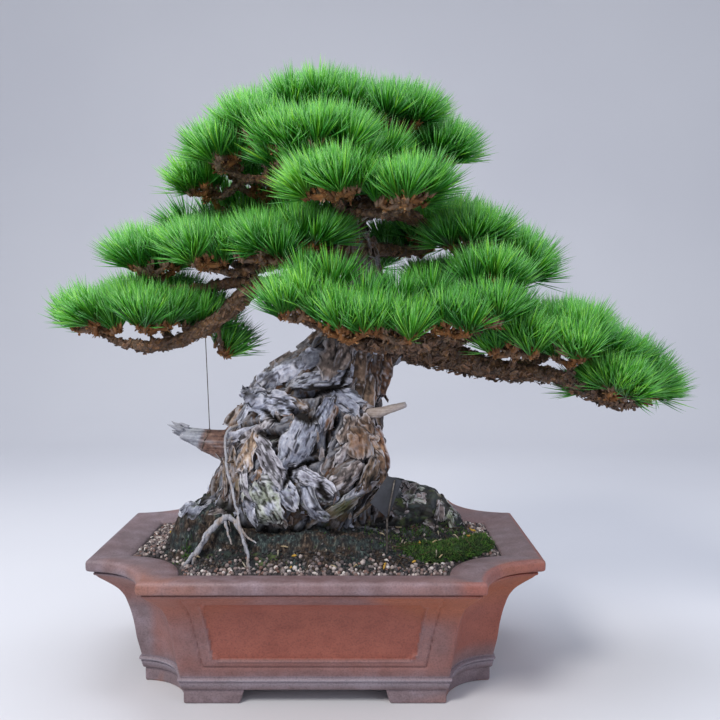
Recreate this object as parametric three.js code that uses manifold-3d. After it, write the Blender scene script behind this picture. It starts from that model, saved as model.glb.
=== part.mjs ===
// Pine bonsai growing in a notched stoneware pot.
// Millimetres, +Z up. X runs along the pot's long side, -Y is the front. Every table is measured from the
// middle of the pot at the surface it stands on, and the finished group is moved so that the middle of its
// own box, at the bottom, is the origin.

import {
  BoxGeometry, BufferGeometry, CatmullRomCurve3, ExtrudeGeometry, Float32BufferAttribute,
  Group, Box3, Mesh, MeshStandardMaterial, Quaternion, Shape, TorusGeometry, Vector2, Vector3,
} from 'three';
import { mergeVertices } from 'three/addons/utils/BufferGeometryUtils.js';
import Module from 'manifold-3d';

const wasm = await Module();
wasm.setup();

// ---- clearances -------------------------------------------------------------------------------------
const GAP = 0.35;             // between two pieces that touch
const NEEDLE_GAP = 0.8;       // between a needle and any piece it must pass
const SUNK = 1.0;             // how far a root lies inside what it grows from
const MERGE_DISTANCE = 1e-4;  // points nearer than this are one

// ---- pot --------------------------------------------------------------------------------------------
const RIM_HALF_X = 280;
const RIM_HALF_Y = 200;
const POT_ARC_STEPS = 5;
const CORNER_ROUND = 5;
const FOOT_HEIGHT = 18;
const FLOOR_TOP = 31;
const FOOT_INSET = 59.5;
const FOOT_NOTCH = 62;
const FOOT_THICKNESS = 16;
const FOOT_END_X = 84;        // where a foot ends along the long side, from the middle
const FOOT_END_Y = 30;        // and along the short side
const FOOT_SLANT = 9;         // how far a foot's end leans back between its top and the ground
const PANEL_LOW = 58;
const PANEL_HIGH = 135;
const PANEL_DEPTH = 2.2;
const PANEL_BEVEL = 1.6;
const PANEL_HALF_X = [120, 130];   // half the panel's width on the long sides, at its foot and at its top
const PANEL_HALF_Y = [56, 63];     // the same on the short sides
const DRAIN_X = 110;
const DRAIN_RADIUS = 14;
const DRAIN_SIDES = 16;
const SCREEN_SIZE = 42;
const SCREEN_THICKNESS = 1.4;
const SCREEN_HOLES = 2;       // holes each way
const SCREEN_HOLE_SHARE = 0.7;     // width of a hole, as a part of the way from one to the next

// Height, inset from the rim's rectangle and radius of the corner notch, up the outside of the wall.
const POT_OUTSIDE = [
  [18, 58.5, 62], [30.5, 56, 62], [PANEL_LOW - PANEL_BEVEL / 2, 52.3, 63],
  [PANEL_LOW + PANEL_BEVEL / 2, 52, 63], [82, 49, 63.5], [104, 44, 65], [118, 39, 67], [127, 33, 70],
  [PANEL_HIGH - PANEL_BEVEL / 2, 24.5, 73], [PANEL_HIGH + PANEL_BEVEL / 2, 22.8, 74], [144, 13.5, 77],
  [154, 5.5, 81.5], [156, 0.4, 83], [164.5, 0, 83], [167.2, 1.2, 83], [168, 3.4, 83], [162.5, 46, 74],
];
// The same up the inside, from the floor to just above the rim's inner edge.
const POT_INSIDE = [
  [FLOOR_TOP, 69, 66], [50, 66, 66], [77, 63, 68], [104, 57, 70], [128, 47, 74], [175, 45.6, 74],
];

// ---- soil and moss ----------------------------------------------------------------------------------
const SOIL_EDGE = 160;        // height of the soil along the pot's wall
const SOIL_CROWN = 15;        // how much higher it would be in the middle
const SOIL_BUMP = 1.2;
const SOIL_RINGS = [0.86, 0.66, 0.36];
const ABOVE_SOIL = 250;       // a height over everything that lies on the soil
const ROOT_BALL_BOTTOM = 108;
const ROOT_BALL_RINGS = [[1, ROOT_BALL_BOTTOM], [1, 165], [0.92, 174], [0.7, 182]];  // size, height
const ROOT_BALL_BUMP = 1.5;
const ROOT_OUTLINE_POINTS = 42;
// Outline of the ground that the roots fill, seen from above.
const ROOT_OUTLINE = [
  [212, 2], [196, 40], [150, 74], [90, 82], [0, 86], [-90, 64], [-150, 24], [-192, -12], [-208, -46],
  [-194, -72], [-170, -90], [-148, -107], [-120, -124], [-90, -136], [-58, -134], [-34, -112], [0, -98],
  [48, -92], [92, -76], [128, -52], [176, -36],
];
const MOSS_OUTLINE = [
  [98, -80], [112, -104], [136, -118], [160, -111], [178, -97], [196, -82], [214, -70], [226, -50],
  [225, -14], [205, -30], [176, -44], [128, -60],
];
const MOSS_POINTS = 28;
const MOSS_SUNK = 10;         // its underside below the soil's edge
const MOSS_FOOT = 4;          // the height that its rings rise from, over the soil's edge
const MOSS_HEIGHT = 13;
const MOSS_BUMP = 2.2;
const MOSS_RINGS = [[1, 0.2], [0.86, 0.72], [0.6, 0.95], [0.3, 1]];    // size, part of the height

// ---- trunk ------------------------------------------------------------------------------------------
// Height, left and right edge, front-to-back half depth and middle in depth.
const TRUNK_LEVELS = [
  [150, -160, 96, 82, -2], [172, -158, 90, 78, -4], [192, -152, 72, 78, -6], [214, -148, 62, 80, -8],
  [242, -143, 84, 82, -8], [269, -128, 88, 80, -8], [296, -123, 84, 74, -6], [318, -113, 85, 68, -4],
  [330, -110, 86, 63, -2], [350, -96, 85, 58, 0], [370, -90, 88, 54, 0], [384, -83, 92, 51, 0],
  [397, -54, 95, 48, 0], [417, -27, 98, 45, 0], [431, -8, 100, 43, 0], [446, 10, 99, 40, 0],
];
const TRUNK_SIDES = 32;
const TRUNK_STEP = 17;
const TRUNK_SQUARENESS = 0.86;
const PLATE_SIZE = 38;        // width of a bark plate
const PLATE_TALLNESS = 1.5;   // its height up the trunk for its width
const PLATE_RELIEF = 11;
const PLATE_UNEVEN = 1.3;     // how much the plates differ in height, for the relief
const PLATE_SUNK = 1.1;       // how far the lowest plate lies under the plain trunk
const CRACK_DEPTH = 0.8;
const CRACK_WIDTH = 0.25;     // for the plate's width
// Burls and hollows of the trunk: place, radius and height, negative for a hollow.
const TRUNK_LUMPS = [
  [[50, -70, 268], 42, 13], [[-5, -78, 232], 26, 10], [[-80, -72, 250], 34, 11], [[-24, -78, 262], 22, -15],
  [[-40, -74, 330], 34, 10], [[15, -66, 300], 22, -9], [[20, -56, 362], 24, -10], [[40, -60, 186], 32, -16],
  [[-20, -72, 182], 34, -10], [[-60, 66, 250], 36, 11], [[40, 66, 300], 30, 9], [[0, 74, 220], 26, -12],
  [[-70, 50, 340], 26, 8], [[60, 40, 380], 22, -8],
];

// ---- limbs: points along the middle, then radii evenly spaced from root to end -----------------------
const LIMBS = {
  leader: [[[54, 0, 420], [56, 0, 451], [61, 8, 484], [57, 10, 524], [43, 10, 564], [34, 10, 601],
    [21, 10, 637], [4, 10, 670], [-8, 10, 696]], [44, 38, 32, 28, 23, 18, 13, 9, 6, 4], 10],
  right_main: [[[60, 0, 430], [120, -5, 424], [160, -10, 415], [199, -15, 402], [238, -20, 392],
    [276, -25, 390], [317, -20, 384], [352, -12, 364], [384, 0, 348], [416, 14, 342]],
    [30, 24, 20, 17, 14, 12, 10, 8, 6, 5, 4], 8],
  right_low_fork: [[[240, -18, 392], [285, 18, 400], [316, 42, 410]], [10, 7, 4], 6],
  right_front_fork: [[[150, -12, 418], [176, -38, 432], [202, -62, 442]], [11, 7, 4], 6],
  right_upper: [[[40, 10, 604], [80, 0, 605], [119, 0, 596], [147, 5, 579], [173, 10, 562], [204, 14, 540],
    [236, 18, 522], [260, 20, 514]], [16, 14, 11, 9, 8, 7, 5, 4], 7],
  right_back: [[[54, 18, 556], [90, 42, 552], [134, 70, 554]], [13, 9, 7, 4], 6],
  left_main: [[[48, -3, 478], [2, -20, 492], [-36, -30, 500], [-68, -35, 504], [-88, -35, 498],
    [-103, -35, 480], [-133, -35, 455], [-166, -35, 437], [-201, -35, 424], [-230, -35, 424],
    [-262, -30, 430]], [20, 16, 14, 12, 12, 11, 10, 9, 8, 6, 4], 8],
  left_fork: [[[-66, -32, 504], [-108, -24, 507], [-149, -12, 500], [-190, -14, 497]],
    [10, 8, 7, 6, 4], 6],
  left_back_fork: [[[-190, -34, 428], [-206, 4, 442], [-218, 32, 454]], [8, 6, 4], 6],
  left_tier: [[[46, 8, 556], [0, -2, 546], [-50, -20, 532], [-104, -34, 520]], [15, 11, 9, 7, 6, 4], 7],
  left_tier_back: [[[-84, -28, 523], [-106, 12, 530], [-126, 44, 534]], [8, 6, 4], 6],
  crown_left: [[[22, 10, 630], [-30, 5, 634], [-62, 0, 640], [-98, -10, 642]],
    [12, 9, 7, 6, 4], 7],
  crown_right: [[[8, 10, 660], [50, 10, 660], [92, 6, 658], [130, 5, 655]], [11, 8, 6, 4], 6],
  crown_front: [[[34, 8, 598], [30, -28, 598], [27, -64, 598]], [13, 9, 7, 4], 6],
  crown_front_fork: [[[29, -44, 599], [66, -72, 590], [94, -84, 588]], [7, 6, 4], 6],
  crown_back: [[[-6, 12, 684], [0, 50, 692], [8, 76, 702]], [9, 7, 4], 6],
  back_high: [[[36, 14, 594], [50, 58, 600], [62, 90, 612]], [12, 8, 4], 6],
  back_mid: [[[58, 14, 520], [48, 60, 512], [38, 104, 512]], [15, 10, 7, 4], 6],
  back_right: [[[50, 56, 512], [104, 92, 486], [158, 112, 482]], [9, 7, 5, 4], 6],
  front_low: [[[58, -12, 450], [56, -56, 438], [56, -94, 429]], [18, 12, 8, 4], 7],
  front_low_left: [[[56, -60, 438], [24, -88, 443], [-6, -104, 452]], [9, 6, 4], 6],
  front_low_right: [[[58, -84, 431], [92, -104, 426], [132, -102, 428]], [8, 7, 6, 4], 6],
  left_stub: [[[-96, -24, 286], [-126, -28, 294], [-152, -30, 303], [-180, -30, 311]], [27, 21, 15, 9], 8],
  right_jin: [[[52, -46, 336], [84, -60, 342], [113, -62, 352]], [9, 7, 4.5], 7],
  small_jin: [[[-62, -40, 344], [-78, -50, 354], [-94, -52, 366]], [9, 7, 4], 6],
  left_root: [[[-60, -10, 196], [-118, -32, 188], [-156, -52, 172], [-184, -66, 154], [-196, -72, 138]],
    [62, 50, 44, 26, 12], 12],
  right_root: [[[30, 16, 190], [96, 24, 194], [136, 24, 196], [172, 16, 170], [196, 6, 142]],
    [52, 46, 44, 30, 12], 12],
  arching_root: [[[-150, -112, 150], [-144, -110, 172], [-127, -101, 201], [-117, -94, 213],
    [-106, -93, 216], [-95, -97, 204], [-87, -104, 184], [-82, -108, 150]], [5.5, 5, 5, 5, 4.5, 4, 4], 6],
  aerial_root: [[[-104, -34, 320], [-116, -52, 310], [-110, -84, 282], [-98, -104, 245], [-88, -116, 210],
    [-78, -126, 178], [-76, -128, 150]], [2.4, 1.8, 1.8, 1.8, 1.8, 2], 5],
};
const LIMB_STEP = 40;
const LIMB_RELIEF = 0.16;     // how uneven the bark is, as a part of the limb's radius
const TWIG_RADII = [4, 3.4];
const TWIG_SIDES = 5;
const TWIG_SAG = 0.1;

// ---- foliage: middle of the surface that the needles stand on, its two half widths, and the limb and the
// part of the way along it that the twig grows from ------------------------------------------------------
const SPRAYS = {
  crown_top: [[4, 2, 735], 66, 58, 'leader', 1],
  crown_left: [[-73, -15, 703], 52, 52, 'crown_left', 0.55],
  crown_right: [[96, 0, 717], 56, 54, 'crown_right', 0.55],
  crown_back: [[11, 95, 730], 80, 42, 'crown_back', 1],
  crown_front: [[0, -74, 678], 66, 40, 'leader', 0.8],
  crown_far_left: [[-124, -20, 669], 36, 40, 'crown_left', 1],
  crown_low_left: [[-153, 24, 637], 28, 34, 'crown_left', 0.75],
  crown_far_right: [[157, 5, 677], 34, 46, 'crown_right', 1],
  front_high_left: [[24, -100, 622], 44, 40, 'crown_front', 1],
  front_high_right: [[112, -92, 613], 44, 40, 'crown_front_fork', 1],
  back_high: [[69, 110, 644], 66, 38, 'back_high', 1],
  left_mid_end: [[-218, -25, 533], 40, 42, 'left_fork', 1],
  left_mid_outer: [[-144, -48, 541], 42, 42, 'left_tier', 1],
  left_mid_inner: [[-69, -55, 548], 42, 42, 'left_tier', 0.5],
  left_mid_trunk: [[-6, -48, 567], 36, 34, 'left_tier', 0.2],
  left_mid_back: [[-135, 62, 560], 66, 42, 'left_tier_back', 1],
  left_low_end: [[-287, -25, 459], 42, 42, 'left_main', 1],
  left_low_mid: [[-214, -45, 461], 40, 40, 'left_main', 0.76],
  left_low_inner: [[-160, -8, 459], 32, 34, 'left_main', 0.62],
  left_low_back: [[-226, 47, 482], 58, 40, 'left_back_fork', 1],
  left_low_tuft: [[-128, 6, 428], 13, 13, 'left_main', 0.54],
  right_mid_inner: [[196, -16, 563], 38, 40, 'right_upper', 0.52],
  right_mid_end: [[272, 22, 535], 34, 40, 'right_upper', 1],
  right_mid_back: [[167, 92, 588], 58, 42, 'right_back', 1],
  right_front: [[220, -75, 471], 40, 36, 'right_front_fork', 1],
  right_low_inner: [[251, -50, 430], 38, 42, 'right_main', 0.46],
  right_low_mid: [[327, -40, 420], 38, 42, 'right_main', 0.64],
  right_low_end: [[384, -18, 372], 40, 42, 'right_main', 0.86],
  right_low_tip: [[446, 26, 362], 26, 36, 'right_main', 1],
  right_low_back: [[338, 60, 438], 66, 42, 'right_low_fork', 1],
  front_low_left: [[-20, -110, 477], 34, 32, 'front_low_left', 1],
  front_low_mid: [[36, -124, 455], 36, 32, 'front_low', 1],
  front_low_right: [[98, -116, 452], 38, 32, 'front_low_right', 0.42],
  front_low_far_right: [[164, -98, 459], 34, 32, 'front_low_right', 1],
  back_mid: [[32, 137, 542], 66, 38, 'back_mid', 1],
  back_right: [[188, 118, 507], 58, 38, 'back_right', 1],
};
const SHOOT_AREA = 585;       // ground that one shoot covers, in mm2 of half width times half width
const SHOOTS_LEAST = 2;
const SHOOTS_MOST = 7;
const SHOOT_THICKNESS = 3;
const SHOOT_LENGTH = 22;
const SHOOT_INSET = 5;        // from the spray's edge in to the outermost shoots
const SHOOT_START = 0.55;     // how far out the first shoot stands, as a part of its own ground
// Heights of the rings round a shoot's core. Needles grow between the first two and between the last two.
const SHOOT_RINGS = [0, 3, 12, 14.5];
const CORE_RADII = [2.1, 2.1, 1.8, 1.8];
const SHOOT_LEAN = 1.05;      // lean of the outermost shoots, in radians
const SPRAY_DROP = 16;        // from the surface that the needles stand on down to the twig's end
const SPRAY_DOME = 9;         // how much higher the middle shoots stand than the outermost
const SPRAY_DOME_LEVEL = 0.6; // the part of the dome that lies above the spray's own height
const STEM_UPRIGHT = 10;      // the last of each twig, which stands upright
const HUB_RADIUS = 4.2;
const HUB_HEIGHT = 6;
const HUB_PEAK = 7.8;
const HUB_CLEARANCE = 8;      // the first of each stem, which isn't tested against the twig it leaves
const HUB_FACE = 0.25;        // half the angle that a shoot takes up on the hub
const HUB_BLANK = 1.6;        // widest angle between two corners of the hub
const NEEDLE_LENGTHS = [47, 55];
const NEEDLE_RADIUS = 1.1;    // its half width near the root, where it must pass other pieces
const NEEDLE_MEAN_RADIUS = 0.9;
const NEEDLE_FACE_LIMIT = 0.2;     // least rise of a needle from the face it is drawn out of
const NEEDLE_SPREAD = [1.02, 0.74, 0.36];   // lean from the shoot: low whorl, then the pair of the high one
const NEEDLE_WANDER = 0.16;   // how far a needle strays from its lean, in radians
const NEEDLE_DROOP = -0.25;   // how far down the lowest needles may point
const TURNS_TRIED = 14;       // turns of a spray's pattern tried for the one that fits the most shoots
const TURN_STEP = 0.45;
const CORE_TWIST = 0.5;       // turn of a core's upper rings, so that its needles don't stand in rows
const PLACED_STEP = 14;       // length of the stretches by which limbs are kept clear
const PLACED_MARGIN = 1.1;    // and how much wider than the limb they are
const GOLDEN_ANGLE = Math.PI * (3 - Math.sqrt(5));

// ---- tag and tie ------------------------------------------------------------------------------------
const TAG_CORNERS = [[87, 271], [66, 238], [88, 218], [105, 265]];
const TAG_Y = -112;
const TAG_THICKNESS = 1.2;
const STAKE_RADIUS = 1.3;
const STAKE_SIDES = 8;
const STAKE_X = 87;
const STAKE_TOP = 268;
const STAKE_BOTTOM = 146;
const WIRE_RADIUS = 0.6;
const WIRE_SIDES = 6;
const TIE_TOP = [-146, -35, 447];
const TIE_AT = 0.62;          // the part of the way along the stub where the tie goes round it
const TIE_RING_RADIUS = 16;
const TIE_RING_STEPS = 14;

const COLOURS = {
  pot: [0x8a5546, 0.75], drain_screen: [0x2f3331, 0.7], soil: [0x7d6a58, 0.95], moss: [0x4a6324, 0.95],
  tree: [0x806a5c, 0.9], needles: [0x58a02c, 0.55], wire: [0x6f6a66, 0.5], tag: [0x33343a, 0.7],
};

// ---- seeded numbers from 0 to 1 ---------------------------------------------------------------------
function seeded(seed) {
  let state = seed;
  return () => {
    state = (state * 1664525 + 1013904223) % 4294967296;
    return state / 4294967296;
  };
}

// The same number for the same three every time.
function hash(i, j, k) {
  const value = Math.sin(i * 127.1 + j * 311.7 + k * 74.7) * 43758.5453;
  return value - Math.floor(value);
}

// ---- solids -----------------------------------------------------------------------------------------
function solidOf(geometry) {
  const bare = geometry.clone();
  bare.deleteAttribute('normal');
  bare.deleteAttribute('uv');
  const merged = mergeVertices(bare, MERGE_DISTANCE);
  return new wasm.Manifold(new wasm.Mesh({
    numProp: 3,
    vertProperties: new Float32Array(merged.attributes.position.array),
    triVerts: new Uint32Array(merged.index.array),
  }));
}

function geometryOf(solid) {
  const mesh = solid.getMesh();
  const geometry = new BufferGeometry();
  geometry.setAttribute('position', new Float32BufferAttribute(mesh.vertProperties, 3));
  geometry.setIndex([...mesh.triVerts]);
  geometry.computeVertexNormals();
  return geometry;
}

function joined(solids) {
  return solids.reduce((whole, next) => whole.add(next));
}

// A closed skin over rings of equal count, each running anticlockwise about the way from first to last. It is
// closed by a fan round each end ring's middle, or by a point where an end is given.
function skin(rings, tip = null) {
  const count = rings[0].length;
  const points = rings.flat();
  const faces = [];
  for (let i = 0; i + 1 < rings.length; i += 1) {
    for (let j = 0; j < count; j += 1) {
      const a = i * count + j;
      const b = i * count + (j + 1) % count;
      faces.push(a, b, b + count, a, b + count, a + count);
    }
  }
  const middle = (ring) => ring.reduce((sum, p) => sum.add(p), new Vector3()).divideScalar(count);
  const first = points.push(middle(rings[0])) - 1;
  const last = points.push(tip ?? middle(rings.at(-1))) - 1;
  const top = (rings.length - 1) * count;
  for (let j = 0; j < count; j += 1) {
    const k = (j + 1) % count;
    faces.push(first, k, j, last, top + j, top + k);
  }
  return closedSkin(points, faces);
}

function closedSkin(points, faces) {
  const geometry = new BufferGeometry();
  geometry.setAttribute('position', new Float32BufferAttribute(points.flatMap((p) => p.toArray()), 3));
  geometry.setIndex(faces);
  return solidOf(geometry);
}

function circleRing(middle, across, over, radius, sides) {
  return Array.from({ length: sides }, (_, j) => {
    const angle = (j / sides) * 2 * Math.PI;
    return middle.clone().addScaledVector(across, radius * Math.cos(angle))
      .addScaledVector(over, radius * Math.sin(angle));
  });
}

// Two directions square to a given one, turning anticlockwise about it.
function squareTo(axis) {
  const steep = Math.abs(axis.z) > 0.8;
  const help = steep ? new Vector3(1, 0, 0) : new Vector3(0, 0, 1);
  const across = new Vector3().crossVectors(help, axis).normalize();
  return [across, new Vector3().crossVectors(axis, across)];
}

function rod(from, to, radius, sides) {
  const [across, over] = squareTo(to.clone().sub(from).normalize());
  return skin([circleRing(from, across, over, radius, sides), circleRing(to, across, over, radius, sides)]);
}

function box(size, middle) {
  const geometry = new BoxGeometry(...size);
  geometry.translate(...middle);
  return solidOf(geometry);
}

// ---- pot --------------------------------------------------------------------------------------------
// The corners in turn: the corner's signs, the way along the side that comes into it and the way out of it.
const POT_CORNERS = [
  [1, 1, new Vector2(0, 1), new Vector2(-1, 0)], [-1, 1, new Vector2(-1, 0), new Vector2(0, -1)],
  [-1, -1, new Vector2(0, -1), new Vector2(1, 0)], [1, -1, new Vector2(1, 0), new Vector2(0, 1)],
];

// Points in plan: so far back along the side that comes into a corner, and so far along the one that leaves.
function planFrom(corner, arriving, leaving) {
  return (back, aside) => corner.clone().addScaledVector(arriving, -back).addScaledVector(leaving, aside);
}

// Half the panel's width at a height. It widens from its foot to its top.
function panelHalf([low, high], height) {
  return low + (high - low) * (height - PANEL_LOW) / (PANEL_HIGH - PANEL_LOW);
}

// One level of the pot: a rectangle whose corners are cut by quarter circles round the corner itself.
function potRing([height, inset, notch], panel) {
  const half = new Vector2(RIM_HALF_X - inset, RIM_HALF_Y - inset);
  const recess = height > PANEL_LOW && height < PANEL_HIGH ? PANEL_DEPTH : 0;
  const ring = [];
  const put = (point) => ring.push(new Vector3(point.x, point.y, height));
  for (const [signX, signY, arriving, leaving] of POT_CORNERS) {
    const corner = new Vector2(signX * half.x, signY * half.y);
    const along = planFrom(corner, arriving, leaving);
    const soft = CORNER_ROUND / notch;
    put(along(notch + CORNER_ROUND, 0));
    for (let k = 0; k <= POT_ARC_STEPS; k += 1) {
      const angle = soft + (Math.PI / 2 - 2 * soft) * k / POT_ARC_STEPS;
      put(along(notch * Math.cos(angle), notch * Math.sin(angle)));
    }
    put(along(0, notch + CORNER_ROUND));
    if (panel) {
      const sideHalf = leaving.x === 0 ? half.y : half.x;
      const wide = panelHalf(leaving.x === 0 ? PANEL_HALF_Y : PANEL_HALF_X, height);
      const inner = wide - PANEL_BEVEL;
      for (const [reach, deep] of [[-wide, 0], [-inner, recess], [inner, recess], [wide, 0]]) {
        put(along(deep, sideHalf + reach));
      }
    }
  }
  return ring;
}

// A bracket foot that wraps one corner, its ends leaning back towards the ground.
function potFoot([signX, signY, arriving, leaving]) {
  const half = new Vector2(RIM_HALF_X - FOOT_INSET, RIM_HALF_Y - FOOT_INSET);
  const corner = new Vector2(signX * half.x, signY * half.y);
  const along = planFrom(corner, arriving, leaving);
  const longWay = half.x - FOOT_END_X;
  const shortWay = half.y - FOOT_END_Y;
  const reachIn = arriving.x === 0 ? shortWay : longWay;
  const reachOut = arriving.x === 0 ? longWay : shortWay;
  const arc = (radius, edge) => Array.from({ length: POT_ARC_STEPS + 1 }, (_, k) => {
    const angle = edge + (Math.PI / 2 - 2 * edge) * k / POT_ARC_STEPS;
    return along(radius * Math.cos(angle), radius * Math.sin(angle));
  });
  const wide = FOOT_NOTCH + FOOT_THICKNESS;
  const plan = [
    along(reachIn, 0), ...arc(FOOT_NOTCH, 0), along(0, reachOut), along(FOOT_THICKNESS, reachOut),
    ...arc(wide, Math.asin(FOOT_THICKNESS / wide)).reverse(), along(reachIn, FOOT_THICKNESS),
  ];
  const geometry = new ExtrudeGeometry(new Shape(plan), { depth: FOOT_HEIGHT + SUNK, bevelEnabled: false });
  const position = geometry.attributes.position;
  for (let i = 0; i < position.count; i += 1) {
    const flat = new Vector2(position.getX(i), position.getY(i));
    const lean = position.getZ(i) < SUNK ? FOOT_SLANT : 0;
    const back = corner.clone().sub(flat).dot(arriving);
    const aside = flat.clone().sub(corner).dot(leaving);
    if (back > reachIn - SUNK) flat.addScaledVector(arriving, lean);
    if (aside > reachOut - SUNK) flat.addScaledVector(leaving, -lean);
    position.setXY(i, flat.x, flat.y);
  }
  return solidOf(geometry);
}

function pot() {
  const outside = skin(POT_OUTSIDE.map((level) => potRing(level, true)));
  const inside = skin(POT_INSIDE.map((level) => potRing(level, false)));
  const drains = [-DRAIN_X, DRAIN_X].map((x) => rod(
    new Vector3(x, 0, FOOT_HEIGHT - SUNK), new Vector3(x, 0, FLOOR_TOP + SUNK), DRAIN_RADIUS, DRAIN_SIDES,
  ));
  return joined([outside, ...POT_CORNERS.map(potFoot)]).subtract(joined([inside, ...drains]));
}

function drainScreen(x) {
  const pitch = SCREEN_SIZE / (SCREEN_HOLES + 1);
  const hole = SCREEN_HOLE_SHARE * pitch;
  const height = FLOOR_TOP + GAP + SCREEN_THICKNESS / 2;
  let plate = box([SCREEN_SIZE, SCREEN_SIZE, SCREEN_THICKNESS], [x, 0, height]);
  for (let i = 1; i <= SCREEN_HOLES; i += 1) {
    for (let j = 1; j <= SCREEN_HOLES; j += 1) {
      const middle = [x + i * pitch - SCREEN_SIZE / 2, j * pitch - SCREEN_SIZE / 2, height];
      plate = plate.subtract(box([hole, hole, 2 * SCREEN_THICKNESS], middle));
    }
  }
  return plate;
}

// ---- soil -------------------------------------------------------------------------------------------
// A smooth closed outline through corners that run anticlockwise, moved out by grow.
function closedOutline(corners, count, grow) {
  const curve = new CatmullRomCurve3(corners.map(([x, y]) => new Vector3(x, y, 0)), true, 'centripetal');
  return Array.from({ length: count }, (_, i) => {
    const way = curve.getTangent(i / count);
    return curve.getPoint(i / count).addScaledVector(new Vector3(way.y, -way.x, 0).normalize(), grow);
  });
}

function atHeight(outline, height) {
  return outline.map((p) => new Vector3(p.x, p.y, height));
}

// Height of the soil's surface at a part of the way out from the middle to the wall.
function mound(share) {
  return SOIL_EDGE + SOIL_CROWN * (1 - share * share);
}

// The soil fills the pot. Lift raises its top, for cutting what lies on it.
function soilBody(lift) {
  const rings = POT_INSIDE.slice(0, -1).map(([height, inset, notch]) => potRing(
    [Math.max(height, FLOOR_TOP + GAP), inset + GAP, notch + GAP], false,
  ));
  const [, wallInset, wallNotch] = between(POT_INSIDE, SOIL_EDGE);
  const edge = potRing([SOIL_EDGE + lift, wallInset + GAP, wallNotch + GAP], false);
  rings.push(edge);
  for (const share of SOIL_RINGS) {
    rings.push(edge.map((p, j) => new Vector3(
      p.x * share, p.y * share, mound(share) + lift + SOIL_BUMP * (2 * hash(j, share, 3) - 1),
    )));
  }
  return skin(rings);
}

// The upright block of ground that the roots fill.
function rootPrism(grow, low, high) {
  const outline = closedOutline(ROOT_OUTLINE, ROOT_OUTLINE_POINTS, grow);
  return skin([atHeight(outline, low), atHeight(outline, high)]);
}

function moss() {
  const outline = closedOutline(MOSS_OUTLINE, MOSS_POINTS, 0);
  const heart = outline.reduce((sum, p) => sum.add(p), new Vector3()).divideScalar(outline.length);
  const rings = [atHeight(outline, SOIL_EDGE - MOSS_SUNK)];
  for (const [share, high] of MOSS_RINGS) {
    rings.push(outline.map((p, j) => {
      const point = heart.clone().lerp(p, share);
      const bump = MOSS_BUMP * (2 * hash(j, share, 9) - 1);
      return point.setZ(SOIL_EDGE + MOSS_FOOT + MOSS_HEIGHT * high + bump);
    }));
  }
  return skin(rings);
}

// ---- tree -------------------------------------------------------------------------------------------
// Height of the bark over the plain trunk: plates of unequal height with cracks between them. A plate is the
// ground nearest to one seeded point of a grid, and a crack is where two such points are equally near.
function plates(point) {
  const p = [point.x / PLATE_SIZE, point.y / PLATE_SIZE, point.z / (PLATE_TALLNESS * PLATE_SIZE)];
  const base = p.map(Math.floor);
  let nearest = Infinity;
  let second = Infinity;
  let high = 0;
  for (let n = 0; n < 27; n += 1) {
    const cell = [base[0] + n % 3 - 1, base[1] + Math.floor(n / 3) % 3 - 1, base[2] + Math.floor(n / 9) - 1];
    const away = Math.hypot(...cell.map((c, k) => c + hash(c, cell[(k + 1) % 3], k + cell[2]) - p[k]));
    if (away < nearest) {
      second = nearest;
      nearest = away;
      high = hash(cell[0], cell[1], cell[2]);
    } else if (away < second) {
      second = away;
    }
  }
  const crack = Math.min(1, (second - nearest) / CRACK_WIDTH);
  return PLATE_RELIEF * (PLATE_UNEVEN * high - PLATE_SUNK + CRACK_DEPTH * crack);
}

// A table's row for a height between two of its own.
function between(levels, height) {
  const above = Math.max(1, levels.findIndex((level) => level[0] >= height));
  const low = levels[above - 1];
  const high = levels[above];
  const share = (height - low[0]) / (high[0] - low[0]);
  return low.map((value, i) => value + (high[i] - value) * share);
}

function trunk() {
  const first = TRUNK_LEVELS[0][0];
  const last = TRUNK_LEVELS.at(-1)[0];
  const steps = Math.round((last - first) / TRUNK_STEP);
  const rings = [];
  for (let i = 0; i <= steps; i += 1) {
    const height = first + (last - first) * i / steps;
    const [, left, right, deep, middleY] = between(TRUNK_LEVELS, height);
    rings.push(Array.from({ length: TRUNK_SIDES }, (_, j) => {
      const angle = (j / TRUNK_SIDES) * 2 * Math.PI;
      const bent = (value) => Math.sign(value) * Math.abs(value) ** TRUNK_SQUARENESS;
      const way = new Vector3(bent(Math.cos(angle)), bent(Math.sin(angle)), 0);
      const plain = new Vector3((left + right) / 2, middleY, height)
        .add(new Vector3(way.x * (right - left) / 2, way.y * deep, 0));
      let out = plates(plain);
      for (const [place, radius, lump] of TRUNK_LUMPS) {
        const near = plain.distanceTo(new Vector3(...place)) / radius;
        out += lump * Math.exp(-near * near);
      }
      return plain.addScaledVector(way.normalize(), out);
    }));
  }
  return skin(rings);
}

function curveOf(points) {
  return new CatmullRomCurve3(points.map((p) => new Vector3(...p)), false, 'centripetal');
}

function radiusAt(radii, share) {
  const along = share * (radii.length - 1);
  const i = Math.min(Math.floor(along), radii.length - 2);
  return radii[i] + (radii[i + 1] - radii[i]) * (along - i);
}

function limb(points, radii, sides) {
  const curve = curveOf(points);
  const steps = Math.max(2, Math.round(curve.getLength() / LIMB_STEP));
  const { normals, binormals } = curve.computeFrenetFrames(steps);
  const rings = normals.map((across, i) => {
    const share = i / steps;
    const uneven = i === steps ? 0 : LIMB_RELIEF;
    const ring = circleRing(curve.getPointAt(share), across, binormals[i], radiusAt(radii, share), sides);
    const middle = curve.getPointAt(share);
    return ring.map((p, j) => p.lerp(middle, uneven * (hash(i, j, points[0][0]) - 0.5)));
  });
  return skin(rings);
}

// Where a spray stands on its twig.
function footOf([[x, y, z]]) {
  return [x, y, z - SPRAY_DROP];
}

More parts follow.
